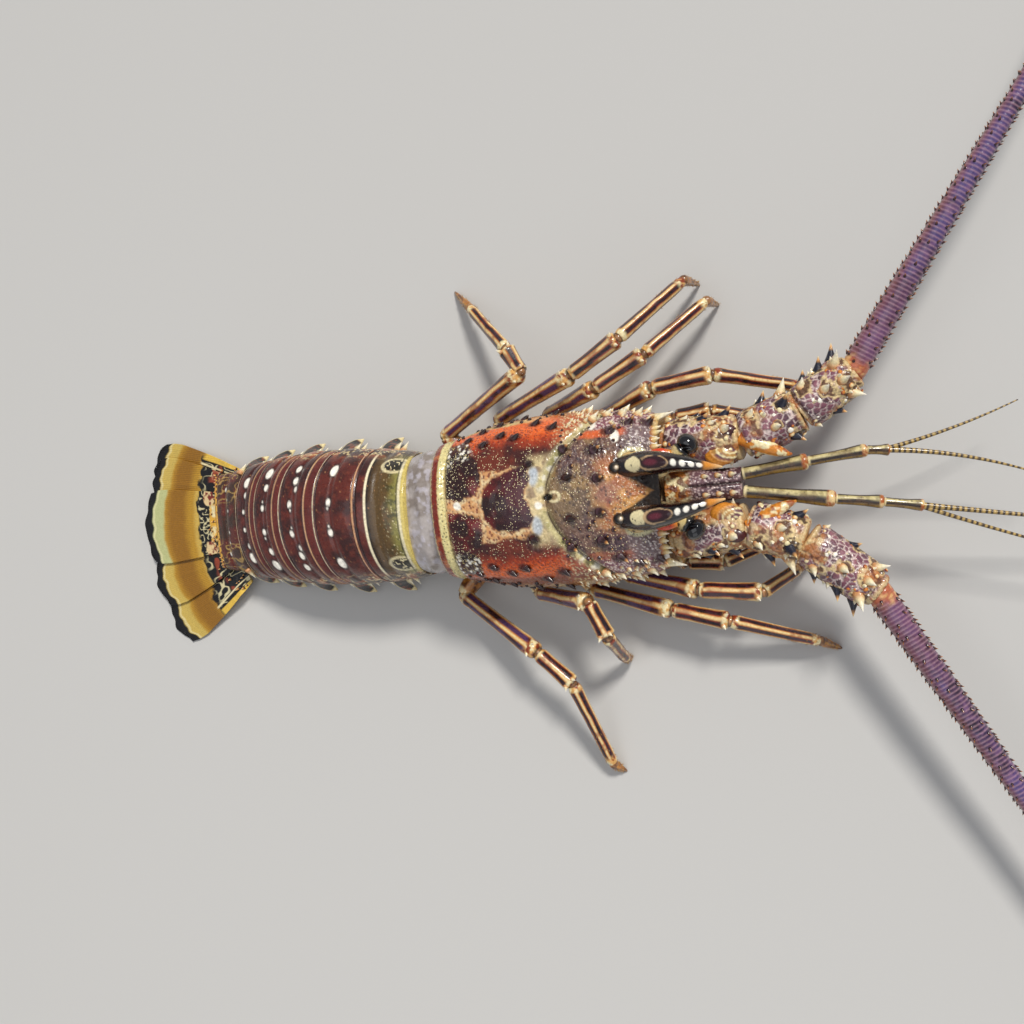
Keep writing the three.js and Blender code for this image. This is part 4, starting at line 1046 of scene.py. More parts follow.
def article(word, n):
    """One base article of an antenna, with its spines and knobs."""
    antenna = ANTENNAE[word]
    side = antenna["side"]
    start, end = antenna["joints"][n], antenna["joints"][n + 1]
    skin_wide, skin_high = ARTICLE_WIDE[n] * 0.97, ARTICLE_HIGH[n] * 0.97
    coat = Coat()
    stations = []
    for share, swell in ARTICLE_SWELL:
        wide, high = ARTICLE_WIDE[n] * swell, ARTICLE_HIGH[n] * swell
        if n == 2 and share == 1.0:
            wide, high = 9.5, 9.0
        stations.append((between(start, end, share), wide, high))
    grid, share, angle, _ = limb_points(stations, 150, 0.62)
    upward = np.sin(angle)
    first, second, tone = cells(grid, 3.6, 91)
    net = smooth(second - first, 0.14, 0.05)
    colours = blend(grid, "7a4656", "4f3340", patches(grid, 9, 93, 0.4, 0.66))
    colours = painted(
        colours,
        ("a8707a", smooth(noise(grid, 5, 94), 0.55, 0.8) * 0.5),
        ("2c1c22", (tone < 0.12) * 0.7),
        ("e6d3cb", net * smooth(upward, -0.5, 0.1) * 0.85),
    )
    warm = smooth(layered(grid, 15, 95) + (0.13 if n == 0 else -0.03), 0.53, 0.62)
    tawny = blend(grid, "b5743a", "dcc08c", patches(grid, 3.4, 96, 0.42, 0.6))
    colours = painted(
        colours,
        (tawny, warm * 0.85),
        ("5c2216", warm * patches(grid, 4.2, 97, 0.52, 0.62) * 0.85),
    )
    under = smooth(upward, -0.25, -0.75)
    colours = over(colours, "b06a3c", under * 0.7)
    rims = np.maximum(smooth(share, 0.07, 0.02), smooth(share, 0.93, 0.97))
    colours = over(colours, tawny, rims * 0.9)
    spatter = layered(grid, 4.5, 98) - 0.5
    for i, (place, turn, _, radius) in enumerate(ARTICLE_SPINES[n]):
        at = limb_point(start, end, place, skin_wide, skin_high, turn, side)[0]
        near = np.linalg.norm(grid - at, axis=-1) + 13 * spatter
        pale = blend(grid, "e2c890", "c0702c", smooth(spatter, 0.02, 0.1))
        colours = over(colours, pale, smooth(near, radius * 2.2, radius * 1.8) * 0.85)
        dark = DEEP if i % 2 else "4a1a10"
        colours = over(colours, dark, smooth(near, radius * 1.55, radius * 1.2) * 0.9)
    lift = (0.75 - 1.0 * net) * 0.6 + 1.6 * (layered(grid, 10, 99) - 0.5)
    lift -= 1.6 * np.exp(-(((share - 0.055) / 0.018) ** 2)) + 1.4 * np.exp(-(((share - 0.935) / 0.018) ** 2))
    grid = raised(grid, lift)
    for ring in (0, -1):
        centre = grid[ring].mean(0)
        grid[ring] = centre + (grid[ring] - centre) * 0.94
    add_tube(coat, grid, colours, 0.8 * smooth(upward, -0.9, 0.0))

    for i, (place, turn, length, radius) in enumerate(ARTICLE_SPINES[n]):
        at, outward, direction = limb_point(start, end, place, skin_wide, skin_high, turn, side)
        stops = DARK_SPINE if i % 2 else PALE_SPINE
        add_studs(coat, at, outward + 0.75 * direction, length, radius, SPINE, stops, 14)
    draw = np.random.default_rng(101 + n)
    for stops, number in ARTICLE_STUDS:
        place = draw.uniform(0.08, 0.92, number)
        turn = draw.uniform(-130, 130, number)
        at, outward, direction = limb_point(start, end, place, ARTICLE_WIDE[n], ARTICLE_HIGH[n], turn, side)
        size = draw.uniform(0.8, 2.1, number) * (0.42 if stops is GRANULE else 1.0)
        profile, stretch = (SPINE, 1.9) if stops is PALE_SPINE else (KNOB, 0.75)
        lean = outward + 0.35 * direction
        add_studs(coat, at - 0.3 * outward, lean, size * stretch, size, profile, stops, 10)
    if n == 0:
        grid = dome((177, side * 17.5, 58.5), (9.5, 6.5, 5.0), (1, side * 0.1, 0))
        rings = np.hypot((grid[..., 0] - 183) / 11, (grid[..., 1] - side * 20) / 7.5)
        rings = rings + 0.12 * noise(grid, 5, 105)
        wave = 0.5 + 0.5 * np.sin(rings * 19)
        shell = blend(grid, "6a4250", "b98a4a", smooth(noise(grid, 4, 103), 0.45, 0.7))
        shell = painted(
            shell,
            (CREAM, smooth(wave, 0.55, 0.75)),
            (AMBER, smooth(rings, 0.85, 1.15)),
        )
        grid = raised(grid, 0.3 * wave)
        add_tube(coat, grid, shell, 0.1)
        grid = dome((181.5, side * 30.5, 60.5), (6, 4.5, 3.2), (1, 0, 0))
        add_tube(coat, grid, blend(grid, "2a0a10", MAROON, noise(grid, 3, 3)), 0.1)
    if n == 1:
        flange = [
            ((189, side * 27, 57), 5, 4),
            ((199, side * 21.5, 58), 4.6, 4.4),
            ((209, side * 16.5, 57), 3.4, 3.6),
            ((217, side * 13.5, 55), 0.8, 1),
        ]
        grid = limb_points(flange, 40, 0.6)[0]
        warm = blend(grid, "d5852a", CREAM, patches(grid, 3, 107, 0.52, 0.64))
        warm = over(warm, RUST, patches(grid, 3.4, 109, 0.56, 0.66) * 0.8)
        grid = raised(grid, 0.9 * (layered(grid, 3, 107) - 0.5))
        add_tube(coat, grid, warm, 0.3)
    coat.build(f"antenna_base_{word}_{n + 1}", ROUGH_HEAD, [f"antenna_{word}_article_{n + 1}"])


def dome(middle, sizes, forward):
    """An egg shape round a middle point, its first size along the forward direction."""
    polar = np.linspace(0.03, math.pi - 0.03, 30)[:, None]
    turn = 2 * np.pi * np.arange(40)[None, :] / 40
    ahead = unit(np.array(forward, float))
    across = unit(np.cross((0, 0, 1.0), ahead))
    upward = np.cross(ahead, across)
    grid = np.array(middle) - (np.cos(polar) * sizes[0] + 0 * turn)[..., None] * ahead
    grid = grid + (np.sin(polar) * np.cos(turn) * sizes[1])[..., None] * across
    return grid + (np.sin(polar) * np.sin(turn) * sizes[2])[..., None] * upward


def flagellum_path(antenna):
    step = ANTENNA_LENGTH / FLAGELLUM_STEPS
    at = np.array(antenna["joints"][3], float)
    stations = []
    for i in range(FLAGELLUM_STEPS + 1):
        share = i / FLAGELLUM_STEPS
        radius = ANTENNA_RADIUS * (1 - share) ** 1.1 + 0.5
        stations.append((at.copy(), radius, radius * 0.9))
        start, end = antenna["heading"]
        turn = math.radians(start + (end - start) * max(0.0, share * 1.4 - 0.4))
        low, high = antenna["pitch"]
        lift = math.radians(low + (high - low) * share)
        at += step * heading(turn, lift)
    return stations


def flagellum(word):
    """The ringed whip of an antenna with its rows of small spines."""
    antenna = ANTENNAE[word]
    coat = Coat()
    stations = flagellum_path(antenna)
    start = np.array(antenna["joints"][3], float) - np.array(antenna["joints"][2], float)
    grid, share, angle, where = limb_points(stations, 26, 0.8, start)
    joint = np.where(np.arange(len(where)) % 3 == 0, 1.0, 0.33)[:, None] + 0 * share
    flank = smooth(np.cos(angle) * antenna["side"], 0.2, 0.8)
    top = smooth(np.sin(angle), 0.3, 0.9)
    colours = blend(grid, VIOLET, "2a1a30", patches(grid, 5, 111, 0.45, 0.65))
    colours = painted(
        colours,
        # Painted sheen: bluish violet over the top of the whip.
        ("57477e", top * patches(grid, 14, 112, 0.38, 0.6) * 0.75),
        ("7d5a80", smooth(noise(grid, 2.2, 113), 0.6, 0.8) * 0.6),
        ("9c6058", flank * 0.6 * smooth(share, 1.0, 0.2)),
        ("7c4656", smooth(share, 0.16, 0.02) * 0.5),
        ("b78f9a", smooth(joint, 0.82, 0.96) * 0.5),
    )
    collar = blend(grid, "b4603a", "e2b070", patches(grid, 3, 114, 0.48, 0.6))
    colours = over(colours, collar, smooth(share + 0.01 * noise(grid, 4, 115), 0.026, 0.014) * 0.9)
    thick = grid - grid.mean(axis=1, keepdims=True)
    grid = grid + thick * (0.035 * joint - 0.02)[..., None]
    add_tube(coat, grid, colours, 0.35)
    draw = np.random.default_rng(121)
    normals = grid_normals(grid)
    onward = unit(np.gradient(grid, axis=0))
    for row, gap in WHIP_ROWS:
        reach = np.arange(7.0, 410.0, gap)
        reach = reach + draw.uniform(-0.25, 0.25, len(reach)) * gap
        ring = (reach / where[-1] * (len(where) - 1)).astype(int)
        turn = np.radians(row + draw.uniform(-7, 7, len(reach)))
        around = np.arctan2(np.cos(turn), np.sin(turn) * antenna["side"])
        column = np.round(around / (2 * np.pi) * grid.shape[1] - 0.5).astype(int) % grid.shape[1]
        size = 0.35 + 0.65 * (1 - reach / ANTENNA_LENGTH)
        lean = normals[ring, column] + 0.8 * onward[ring, column]
        add_studs(coat, grid[ring, column], lean, 2.3 * size, 0.85 * size, SPINE, WHIP_SPINE, 6)
    lengths = [f"antenna_{word}_length_{i}" for i in (1, 2, 3)]
    coat.build(f"antenna_whip_{word}", WHIP, lengths)


# Antennules
ANTENNULES = {
    "left": {
        "joints": [(187.3, 5.2, 50), (225, 8.9, 48), (258, 12, 45), (270, 11, 42)],
        "whips": [((-6, -26), 92), ((10, 22), 78)],
    },
    "right": {
        "joints": [(187.3, -5.2, 50), (238.6, -14.5, 50), (264.4, -18.5, 48), (285.4, -22.5, 45)],
        "whips": [((-11, -11), 125), ((-24, -20), 108)],
    },
}
ANTENNULE_RADII = (4.3, 3.4, 3.0)
ANTENNULE_SWELL = [(0, 0.78), (0.04, 0.9), (0.25, 0.88), (0.6, 0.95), (0.88, 1.14), (0.97, 1.12), (1.0, 0.9)]
WHIP_FALL = math.radians(-9)


def antennule(word):
    data = ANTENNULES[word]
    coat = Coat()
    joints = data["joints"]
    for n in range(3):
        stations = []
        for share, swell in ANTENNULE_SWELL:
            radius = ANTENNULE_RADII[n] * swell
            stations.append((between(joints[n], joints[n + 1], share), radius, radius))
        grid, share, angle, _ = limb_points(stations, 28, 0.6)
        wander = 14 * (noise(grid, 12, 125) - 0.5)
        stripe = smooth(np.abs(np.degrees(angle) - 62 + wander), 25, 17)
        colours = blend(grid, "2c1e16", "cfc08a", stripe)
        colours = over(colours, "8a7a4a", stripe * patches(grid, 3, 124, 0.5, 0.62) * 0.6)
        lower = smooth(np.abs(np.degrees(angle) - 140 + wander), 20, 12)
        colours = over(colours, "a8843c", lower * 0.85)
        mixed = patches(grid, 4, 126, 0.54, 0.62)
        colours = painted(
            colours,
            ("5a3c22", mixed * 0.45),
            (BLACK, specks(grid, 2.2, 0.26, 0.5, 127) * 0.7),
        )
        ringed = blend(grid, "a85a24", "e0c088", patches(grid, 3, 128, 0.48, 0.6))
        colours = painted(
            colours,
            (ringed, smooth(share, 0.89, 0.93)),
            (CREAM, smooth(share, 0.05, 0.02)),
        )
        add_tube(coat, grid, colours, 0.3)
    end, before = np.array(joints[3], float), np.array(joints[2], float)
    root = end - unit(end - before) * 4
    for n, ((start, finish), length) in enumerate(data["whips"]):
        at, steps, stations = root.copy(), 24, []
        for i in range(steps + 1):
            share = i / steps
            radius = (1.5 if n == 0 else 1.1) * (1 - share) + 0.35
            stations.append((at.copy(), radius, radius))
            turn = math.radians(start + (finish - start) * share)
            at += length / steps * heading(turn, WHIP_FALL)
        grid, _, _, where = limb_points(stations, 10, 0.7)
        rings = (where[:, None] / 3.1 % 1.0) + 0 * grid[..., 0]
        colours = blend(grid, "33241c", "c9a860", smooth(np.abs(rings - 0.5), 0.3, 0.2) * 0.8)
        add_tube(coat, grid, colours, 0.2)
    coat.build(f"antennule_stalk_{word}", LIMB, [f"antennule_{word}"])


# Tail
WAIST_REAR = -26.0
# Front, height and half width of each ring, and of the tail's end
TERGITES = [
    (WAIST_REAR, 71, 41.5), (-65, 69.5, 45.5), (-97, 64.5, 46.5), (-129, 56, 45), (-155, 46, 42),
    (-178, 34, 38.5), (-205, 20, 33),
]
TAIL_UNDERSIDE, TAIL_DRIFT = 11.0, 0.049
TAIL_SWEEP = [
    (-205, 0), (-192, 3), (-176, 9), (-151, 13), (-125, 14), (-93, 11), (-65, 7), (-52, 5), (WAIST_REAR, 0),
]
SWELL = [(0, 0.2), (0.14, 1), (0.4, 1.5), (0.52, 0.5), (0.62, 1.5), (0.93, 2), (1, 1.1)]
# White spots of each ring: share of its length, distance round, radius
SPOTS = [
    [],
    [(0.55, 10, 2.4), (0.55, 33, 3.6), (0.57, 6, 1.0)],
    [(0.62, 10, 2.3), (0.55, 26.5, 2.5), (0.5, 20.5, 2.0), (0.6, 6, 1.0), (0.6, 36, 2.4)],
    [(0.6, 8.5, 2.0), (0.62, 34, 3.4), (0.55, 23, 2.2), (0.6, 13, 1.0)],
    [(0.55, 6.5, 1.5), (0.55, 28, 3.2), (0.5, 18.5, 2.0)],
    [(0.35, 8, 1.2), (0.5, 24, 1.8), (0.4, 16, 1.2)],
]


def tail_middle(x):
    return np.maximum(0, WAIST_REAR - x) * TAIL_DRIFT


def tail_section(x, swell):
    fronts, tops, halves = zip(*TERGITES[::-1])
    top = np.interp(x, fronts, tops) + swell
    half = np.interp(x, fronts, halves) + swell
    widest = np.maximum(top * 0.42, TAIL_UNDERSIDE + 5)
    return half, top, widest, TAIL_UNDERSIDE, tail_middle(x)


def tail_ring(n):
    """One ring of the tail, with its flaps and swimmerets or the spines of the last ring."""
    coat = Coat()
    front, rear = TERGITES[n][0] - 0.3 * (n > 0), TERGITES[n + 1][0]
    across = 104
    wide, _ = arch_columns(across, 9)
    share = np.linspace(0, 1, int((front - rear) / 0.55))[:, None] + 0 * wide
    straight = front + (rear - front) * share
    fraction = np.concatenate([np.linspace(1, -1, 2 * across + 1), np.linspace(-1, 1, 11)[1:-1]])
    x = straight + along(TAIL_SWEEP, straight) * np.clip(np.abs(fraction) * 1.6, 0, 1) ** 2
    swell = along(SWELL, share)
    swell = swell - 0.8 * np.exp(-(((share - 0.22) / 0.02) ** 2)) * (1 < n < 5)
    swell = swell - 0.9 * np.exp(-(((share - 0.9) / 0.018) ** 2)) - 0.9 * smooth(share, 0.975, 1.0)
    grid, reach = arch_points(x, lambda at: tail_section(at, swell), across, 9)
    side = np.abs(reach)
    mottle = layered(grid, 8, 131)
    fleck = layered(grid, 2.4, 133)
    colours = blend(grid, "5c2117", "381310", smooth(mottle, 0.4, 0.66))
    colours = over(colours, "7d3a24", smooth(fleck, 0.6, 0.75) * 0.4)
    if n == 0:
        olive = smooth(share + 0.02 * (fleck - 0.5), 0.7, 0.68)
        glossy = blend(grid, "5c4420", "3c2a14", smooth(share, 0.5, 0.68))
        glossy = painted(
            glossy,
            ("8f8a45", smooth(share + 0.2 * (mottle - 0.5), 0.34, 0.12) * 0.8),
            (CREAM, specks(grid, 1.7, 0.26, 0.45, 145) * smooth(share, 0.6, 0.2) * 0.7),
            ("2c3010", patches(grid, 3, 147, 0.58, 0.66) * smooth(share, 0.5, 0.2) * 0.7),
        )
        colours = over(colours, glossy, olive)
        from_marble = np.hypot((share - 0.22) * 39 / 1.6, side - 36)
        marble = smooth(from_marble, 6.5, 5)
        colours = over(colours, BLACK, marble * 0.9)
        veins = smooth(np.abs(layered(grid, 5, 149) - 0.5), 0.03, 0.012)
        colours = painted(
            colours,
            (CREAM, np.maximum(marble * veins, band(from_marble, 5.6, 7.4, 0.4) * 0.8)),
            ("d3bd68", smooth(share + 0.04 * fleck, 0.1, 0.05)),
            ("f0e4c0", band(share, 0.69, 0.735, 0.008)),
            # Painted shade: a dark line in front of the pale line.
            (BLACK, band(share, 0.65, 0.68, 0.012) * 0.7),
            ("f0e4c0", band(share, 0.055, 0.1, 0.012) * smooth(side, 44, 36) * 0.8),
            # Painted shade: a dark line behind the pale line at the front.
            (BLACK, band(share + 0.02 * fleck, 0.115, 0.135, 0.01) * 0.8),
        )
    flank = smooth(side + 5 * (mottle - 0.5), 42, 52)
    dusky = blend(grid, "30140f", "a0521f", patches(grid, 6, 135, 0.48, 0.6))
    colours = over(colours, dusky, flank * 0.9)
    veins = np.abs(layered(grid, 7, 136) - 0.5)
    colours = painted(
        colours,
        ("e8cf96", flank * smooth(veins, 0.03, 0.012) * 0.85),
        (CREAM, flank * specks(grid, 3.0, 0.27, 0.4, 137)),
        (PEACH, specks(grid, 2.6, 0.15, 0.3, 139) * 0.6),
    )
    if 1 < n < 5:
        ahead_part = smooth(share, 0.235, 0.2)
        colours = painted(
            colours,
            ("6a2722", ahead_part * 0.5),
            ("d8ac7c", band(share, 0.215, 0.24, 0.01) * 0.85),
            # Painted shade: a dark line behind the pale line of the groove.
            (BLACK, band(share, 0.25, 0.285, 0.02) * 0.6),
        )
    pale_edge = "dca77c" if n == 0 else "efe2bc"
    edge = blend(grid, pale_edge, "b8794c", smooth(fleck, 0.5, 0.7) * 0.5)
    colours = painted(
        colours,
        # Painted shade: a dark line in the groove before the pale rear edge.
        (BLACK, band(share, 0.87, 0.915, 0.015) * 0.75),
        (edge, smooth(share, 0.93, 0.945)),
    )
    for place, around, size in SPOTS[n]:
        for sign in (1, -1):
            near = np.hypot((share - place) * (front - rear), (reach - sign * around) * 0.62)
            near = near + 0.5 * (fleck - 0.5)
            colours = painted(
                colours,
                ("1c0a0a", smooth(near, size * 0.85 + 1.4, size * 0.85 + 0.2) * 0.7),
                (WHITE, smooth(near, size * 0.85, size * 0.85 - 0.8)),
            )
    if n == 5:
        colours = over(colours, "3a2a18", smooth(mottle, 0.4, 0.55) * 0.5)
        marks = smooth(np.abs(noise(grid * (0.6, 1, 1), 3.4, 143) - 0.5), 0.07, 0.025)
        colours = painted(
            colours,
            ("c9a45c", marks * smooth(side, 8, 20) * 0.7),
            ("d2a144", smooth(share + 0.05 * fleck, 0.86, 0.93)),
        )
    lift = 0.25 * (layered(grid, 5, 141) - 0.5) + 0.12 * (fleck - 0.5)
    grid = raised(grid, lift)
    closed, rows = dished_ends(grid, 1.2)
    add_tube(coat, closed, padded(colours, rows), padded(0.15 + 0.5 * flank, rows))
    if n < 5:
        for sign in (1, -1):
            tail_flap(coat, sign, n)
            if n > 0:
                swimmeret(coat, sign, n)
    if n == 5:
        for sign in (1, -1):
            for turn in np.linspace(10, 78, 8):
                angle = math.pi / 2 - math.radians(turn)
                half, top, widest, _, centre = tail_section(np.array(-203.5), 1.2)
                y = centre + sign * half * math.cos(angle) ** SIDE_POWER
                z = widest + (top - widest) * math.sin(angle) ** SIDE_POWER
                add_studs(coat, (-202.8, y, z - 0.6), (-1, 0, 0.25), 3.0, 1.5, SPINE, RUSTY_SPINE, 9)
    coat.build(f"tail_shell_{n + 1}", SHELL, [f"tail_ring_{n + 1}"])


def tail_flap(coat, side, n):
    rear = TERGITES[n + 1][0] + 5
    half = TERGITES[n + 1][2] + tail_middle(rear) * side
    level = TAIL_UNDERSIDE + 9
    stations = [
        ((rear + 5, side * (half - 8), level + 8), 8, 4),
        ((rear + 4, side * (half + 1), level), 7.5, 2.6),
        ((rear + 5, side * (half + 5.5), level - 8), 4.4, 1.8),
        ((rear + 8, side * (half + 9), level - 15), 0.6, 0.6),
    ]
    grid, share, angle, _ = limb_points(stations, 44, 0.6)
    rim = smooth(np.abs(np.cos(angle)), 0.62, 0.78)
    fleck = layered(grid, 2.6, 151)
    colours = blend(grid, "120a0a", "7a3818", smooth(fleck, 0.55, 0.68))
    colours = over(colours, "eedba4", np.maximum(rim, smooth(share, 0.8, 0.88)) * 0.97)
    add_tube(coat, grid, colours, 0.3)
    for ahead, inward, above in ((10, 1.5, 3), (-4, 2.0, 5), (15, 1.5, 2)):
        at = (rear + ahead, side * (half - inward), level + above)
        add_studs(coat, at, (0.35, side * 0.8, -0.5), 8, 2.2, SPINE, PALE_SPINE, 11)


def swimmeret(coat, side, n):
    middle = (TERGITES[n][0] + TERGITES[n + 1][0]) / 2
    y = tail_middle(middle) + side * 20
    stations = [
        ((middle + 4, y, TAIL_UNDERSIDE + 2), 4, 2),
        ((middle - 4, y + side * 4, 7.5), 6, 0.9),
        ((middle - 15, y + side * 7, 4.5), 5, 0.7),
        ((middle - 21, y + side * 8, 3.5), 1.5, 0.5),
    ]
    grid, _, angle, _ = limb_points(stations, 32, 0.9)
    rim = smooth(np.abs(np.cos(angle)), 0.75, 0.95)
    colours = blend(grid, "5b3a1c", "d9b765", rim)
    add_tube(coat, grid, colours, 0.2)


def make_waist():
    coat = Coat()
    start, end = REAR_EDGE - 0.3, WAIST_REAR + 0.3
    across = 90
    wide, _ = arch_columns(across, 7)
    share = np.linspace(0, 1, 46)[:, None] + 0 * wide
    x = start + (end - start) * share
    bulge = np.sin(np.pi * share)
    folds = 0.3 * np.sin(share * 5 * np.pi) * bulge

    def section(_):
        return 38.5 + 2.5 * bulge + folds, 69.5 + 2 * bulge - 2 * share + folds, 42.0, 18.0, 0.0

    grid, reach = arch_points(x, section, across, 7)
    soft = layered(grid, 7, 161)
    colours = blend(grid, "a9a09c", "857a72", smooth(soft, 0.4, 0.65))
    colours = painted(
        colours,
        ("c9c4d0", patches(grid * (1, 1, 0.4), 3, 163, 0.5, 0.66) * 0.5),
        ("8c6a44", band(share, 0, 0.12, 0.05) * 0.5),
        ("8a5a34", smooth(np.abs(reach), 46, 60) * 0.7),
    )
    grid = raised(grid, 1.2 * (soft - 0.5))
    closed, rows = dished_ends(grid, 0.5)
    add_tube(coat, closed, padded(colours, rows), 0.2)
    coat.build("waist_skin", SKIN, ["waist_membrane"])


# Tail fan
FAN_ROOT = -205.0
OUTER, INNER, MIDDLE = 0, 1, 2
# Root, heading, length, half width at the root and at the end, layer from below, and side of each blade
BLADES = {
    "telson": ((FAN_ROOT - 0.3, 8.8), 179, 77.5, 22, 29, MIDDLE, 0),
    "uropod_inner_left": ((-200, 34), 171, 75, 9, 20.5, INNER, 1),
    "uropod_inner_right": ((-200, -17), 193.5, 80, 9, 20.5, INNER, -1),
    "uropod_outer_left": ((-188, 40), 168, 87, 7, 20.5, OUTER, 1),
    "uropod_outer_right": ((-188, -32), 204.5, 86, 7, 21, OUTER, -1),
}
BLADE_THICK = 1.7
BLADE_PITCH = 2.3
# Share of the blade's length where its dark root ends, by layer
DARK_ROOTS = (0.5, 0.4, 0.36)


def mirrored(top_half):
    """Values of a blade's top followed by the same values in reverse for its underside."""
    return np.concatenate([top_half, top_half[:, ::-1]], axis=1)


def fan_blade(name):
    """One blade of the tail fan: a closed sheet, painted on both faces."""
    root, toward, length, start, end, layer, side = BLADES[name]
    coat = Coat()
    turn = math.radians(toward)
    rows, columns = 140, 84
    u = np.linspace(0, 1, rows)[:, None] + np.zeros((1, columns))
    v = np.linspace(-1, 1, columns)[None, :] + 0 * u
    scallop = 0.011 * np.sin(v * 7 + layer) + 0.004 * np.sin(v * 13 + 2 * layer)
    reach = length * u * (1 - 0.1 * v * v + scallop * smooth(u, 0.8, 1.0) - 0.012)
    half = (start + (end - start) * np.minimum(1, u * 1.25) ** 0.8) * v
    half = half * (1 - 0.06 * smooth(u, 0.9, 1.0) * v * v)
    x = root[0] + reach * math.cos(turn) - half * math.sin(turn)
    y = root[1] + reach * math.sin(turn) + half * math.cos(turn)
    slope = 9 * np.clip((x + 255) / 58, 0, 1) ** 2
    top = slope + layer * BLADE_PITCH + BLADE_THICK
    flat = np.stack([x, y, 0 * x], axis=-1)
    ribs = 0.16 * np.sin(half * 4.2) * smooth(u, 0.3, 0.42) * smooth(np.abs(v), 1.0, 0.9)
    ribs += 0.35 * np.exp(-((half / 1.6) ** 2)) * smooth(u, 0.95, 0.5) * (layer != MIDDLE)
    ribs += 1.0 * (layered(flat, 4, 171) - 0.5) * smooth(u, 0.34, 0.24)
    soft = 0.5 * (layered(flat, 22, 173) - 0.5)
    upper = top + np.clip(ribs + soft - 0.25, -0.5, 0.28)
    thick = BLADE_THICK * (0.45 + 0.55 * (1 - smooth(u, 0.3, 1.0))) * smooth(np.abs(v), 1.04, 0.9)
    lower = top - thick - 0.25
    lower = np.minimum(np.maximum(lower, top - BLADE_THICK), upper - 0.25)
    both = np.concatenate([np.stack([x, y, upper], -1), np.stack([x, y, lower], -1)[:, ::-1]], axis=1)
    beneath = np.concatenate([np.zeros(u.shape), np.ones(u.shape)], axis=1)
    u2, v2, reach2, half2 = (mirrored(values) for values in (u, v, reach, half))
    ragged = layered(both, 5, 175) - 0.5
    level = u2 + 0.035 * ragged
    stria = 0.5 + 0.5 * np.sin(half2 * 5.2 + 1.5 * noise(both, 9, 177))
    colours = blend(both, GOLD, "e3c25c", smooth(level, 0.42, 0.3) * 0.7)
    colours = painted(
        colours,
        (BROWN_GOLD, band(level, 0.5, 0.74, 0.06) * 0.85),
        ("6b4310", stria * band(u2, 0.3, 0.8, 0.08) * 0.45),
        ("e8cf78", band(level, 0.3, 0.4, 0.03) * stria * 0.5),
    )
    pale, cover = ("b9bd86", 0.95) if layer == MIDDLE else ("cdbf6e", 0.5)
    colours = over(colours, pale, smooth(level, 0.755, 0.8) * cover)
    wavy = u2 + 0.008 * ragged + 0.013 * np.sin(v2 * 8 + layer) + 0.005 * np.sin(v2 * 17 + 1)
    colours = painted(
        colours,
        ("e9dfae", band(wavy, 0.885, 0.91, 0.006) * 0.5),
        (BLACK, smooth(wavy, 0.905, 0.925)),
    )
    ends_at = DARK_ROOTS[layer]
    base = smooth(level + 0.09 * ragged, ends_at, ends_at - 0.03)
    colours = over(colours, BLACK, base)
    stretched = np.stack([reach2 * 0.5, half2, 0 * half2], axis=-1)
    gap, edge = (1.9, 0.05) if layer == MIDDLE else (3.4, 0.12)
    worms = np.abs(noise(stretched, gap, 179) - 0.5)
    inner = base * smooth(level, ends_at - 0.02, ends_at - edge)
    colours = over(colours, "e4d8a8", inner * smooth(worms, 0.1, 0.04) * 0.92)
    ruddy = smooth(noise(both, 7, 181), 0.6, 0.7) * smooth(level, 0.3, 0.22) * (layer != MIDDLE)
    colours = over(colours, "a8482a", inner * ruddy * 0.8)
    if layer == MIDDLE:
        plate = smooth(u2 + 0.02 * ragged, 0.185, 0.165) * smooth(np.abs(v2), 0.66, 0.54) * (1 - beneath)
        colours = over(colours, blend(both, "e0ab3c", CREAM, smooth(ragged, 0, 0.3)), plate)
        knob_place = np.hypot((u2 - 0.19) * length / 6.5, (np.abs(v2) - 0.82) * start / 5.5)
        knob_place = knob_place + 0.7 * (layered(both, 5, 185) - 0.5)
        swirl = layered(both, 3.2, 183) * 1.5 - 0.2
        creamy = blend(both, "e6c894", "7c2a20", smooth(swirl, 0.6, 0.8))
        colours = over(colours, creamy, smooth(knob_place, 1.1, 0.9))
    if layer == OUTER:
        outer = -v2 * side
        strip = smooth(outer, 0.66, 0.72) * smooth(level, 0.5, 0.46)
        ray = band(outer - 0.5 * level, 0.2, 0.3, 0.03) * smooth(level, 0.52, 0.48)
        colours = painted(
            colours,
            (CREAM, ray),
            (BLACK, band(outer, 0.62, 0.68, 0.02) * smooth(level, 0.5, 0.46)),
            ("e6bd4c", strip),
        )
    colours = over(colours, "a07a3a", beneath * 0.35)
    add_tube(coat, both, colours, 0.25 + 0.4 * base)
    draw = np.random.default_rng(191 + layer)
    number = 12
    place = draw.integers(6, 30, number)
    column = draw.integers(4, columns - 4, number)
    at = np.stack([x, y, upper - 0.2], -1)[place, column]
    ahead = np.array([math.cos(turn), math.sin(turn), 0.7])
    size = draw.uniform(0.7, 1.3, number)
    add_studs(coat, at, ahead, 2.0 * size, size, SPINE, FAN_SPINE, 8)
    coat.build(f"fan_{name}", FAN, [name])


# Legs
LEG_RADIUS = 5.2
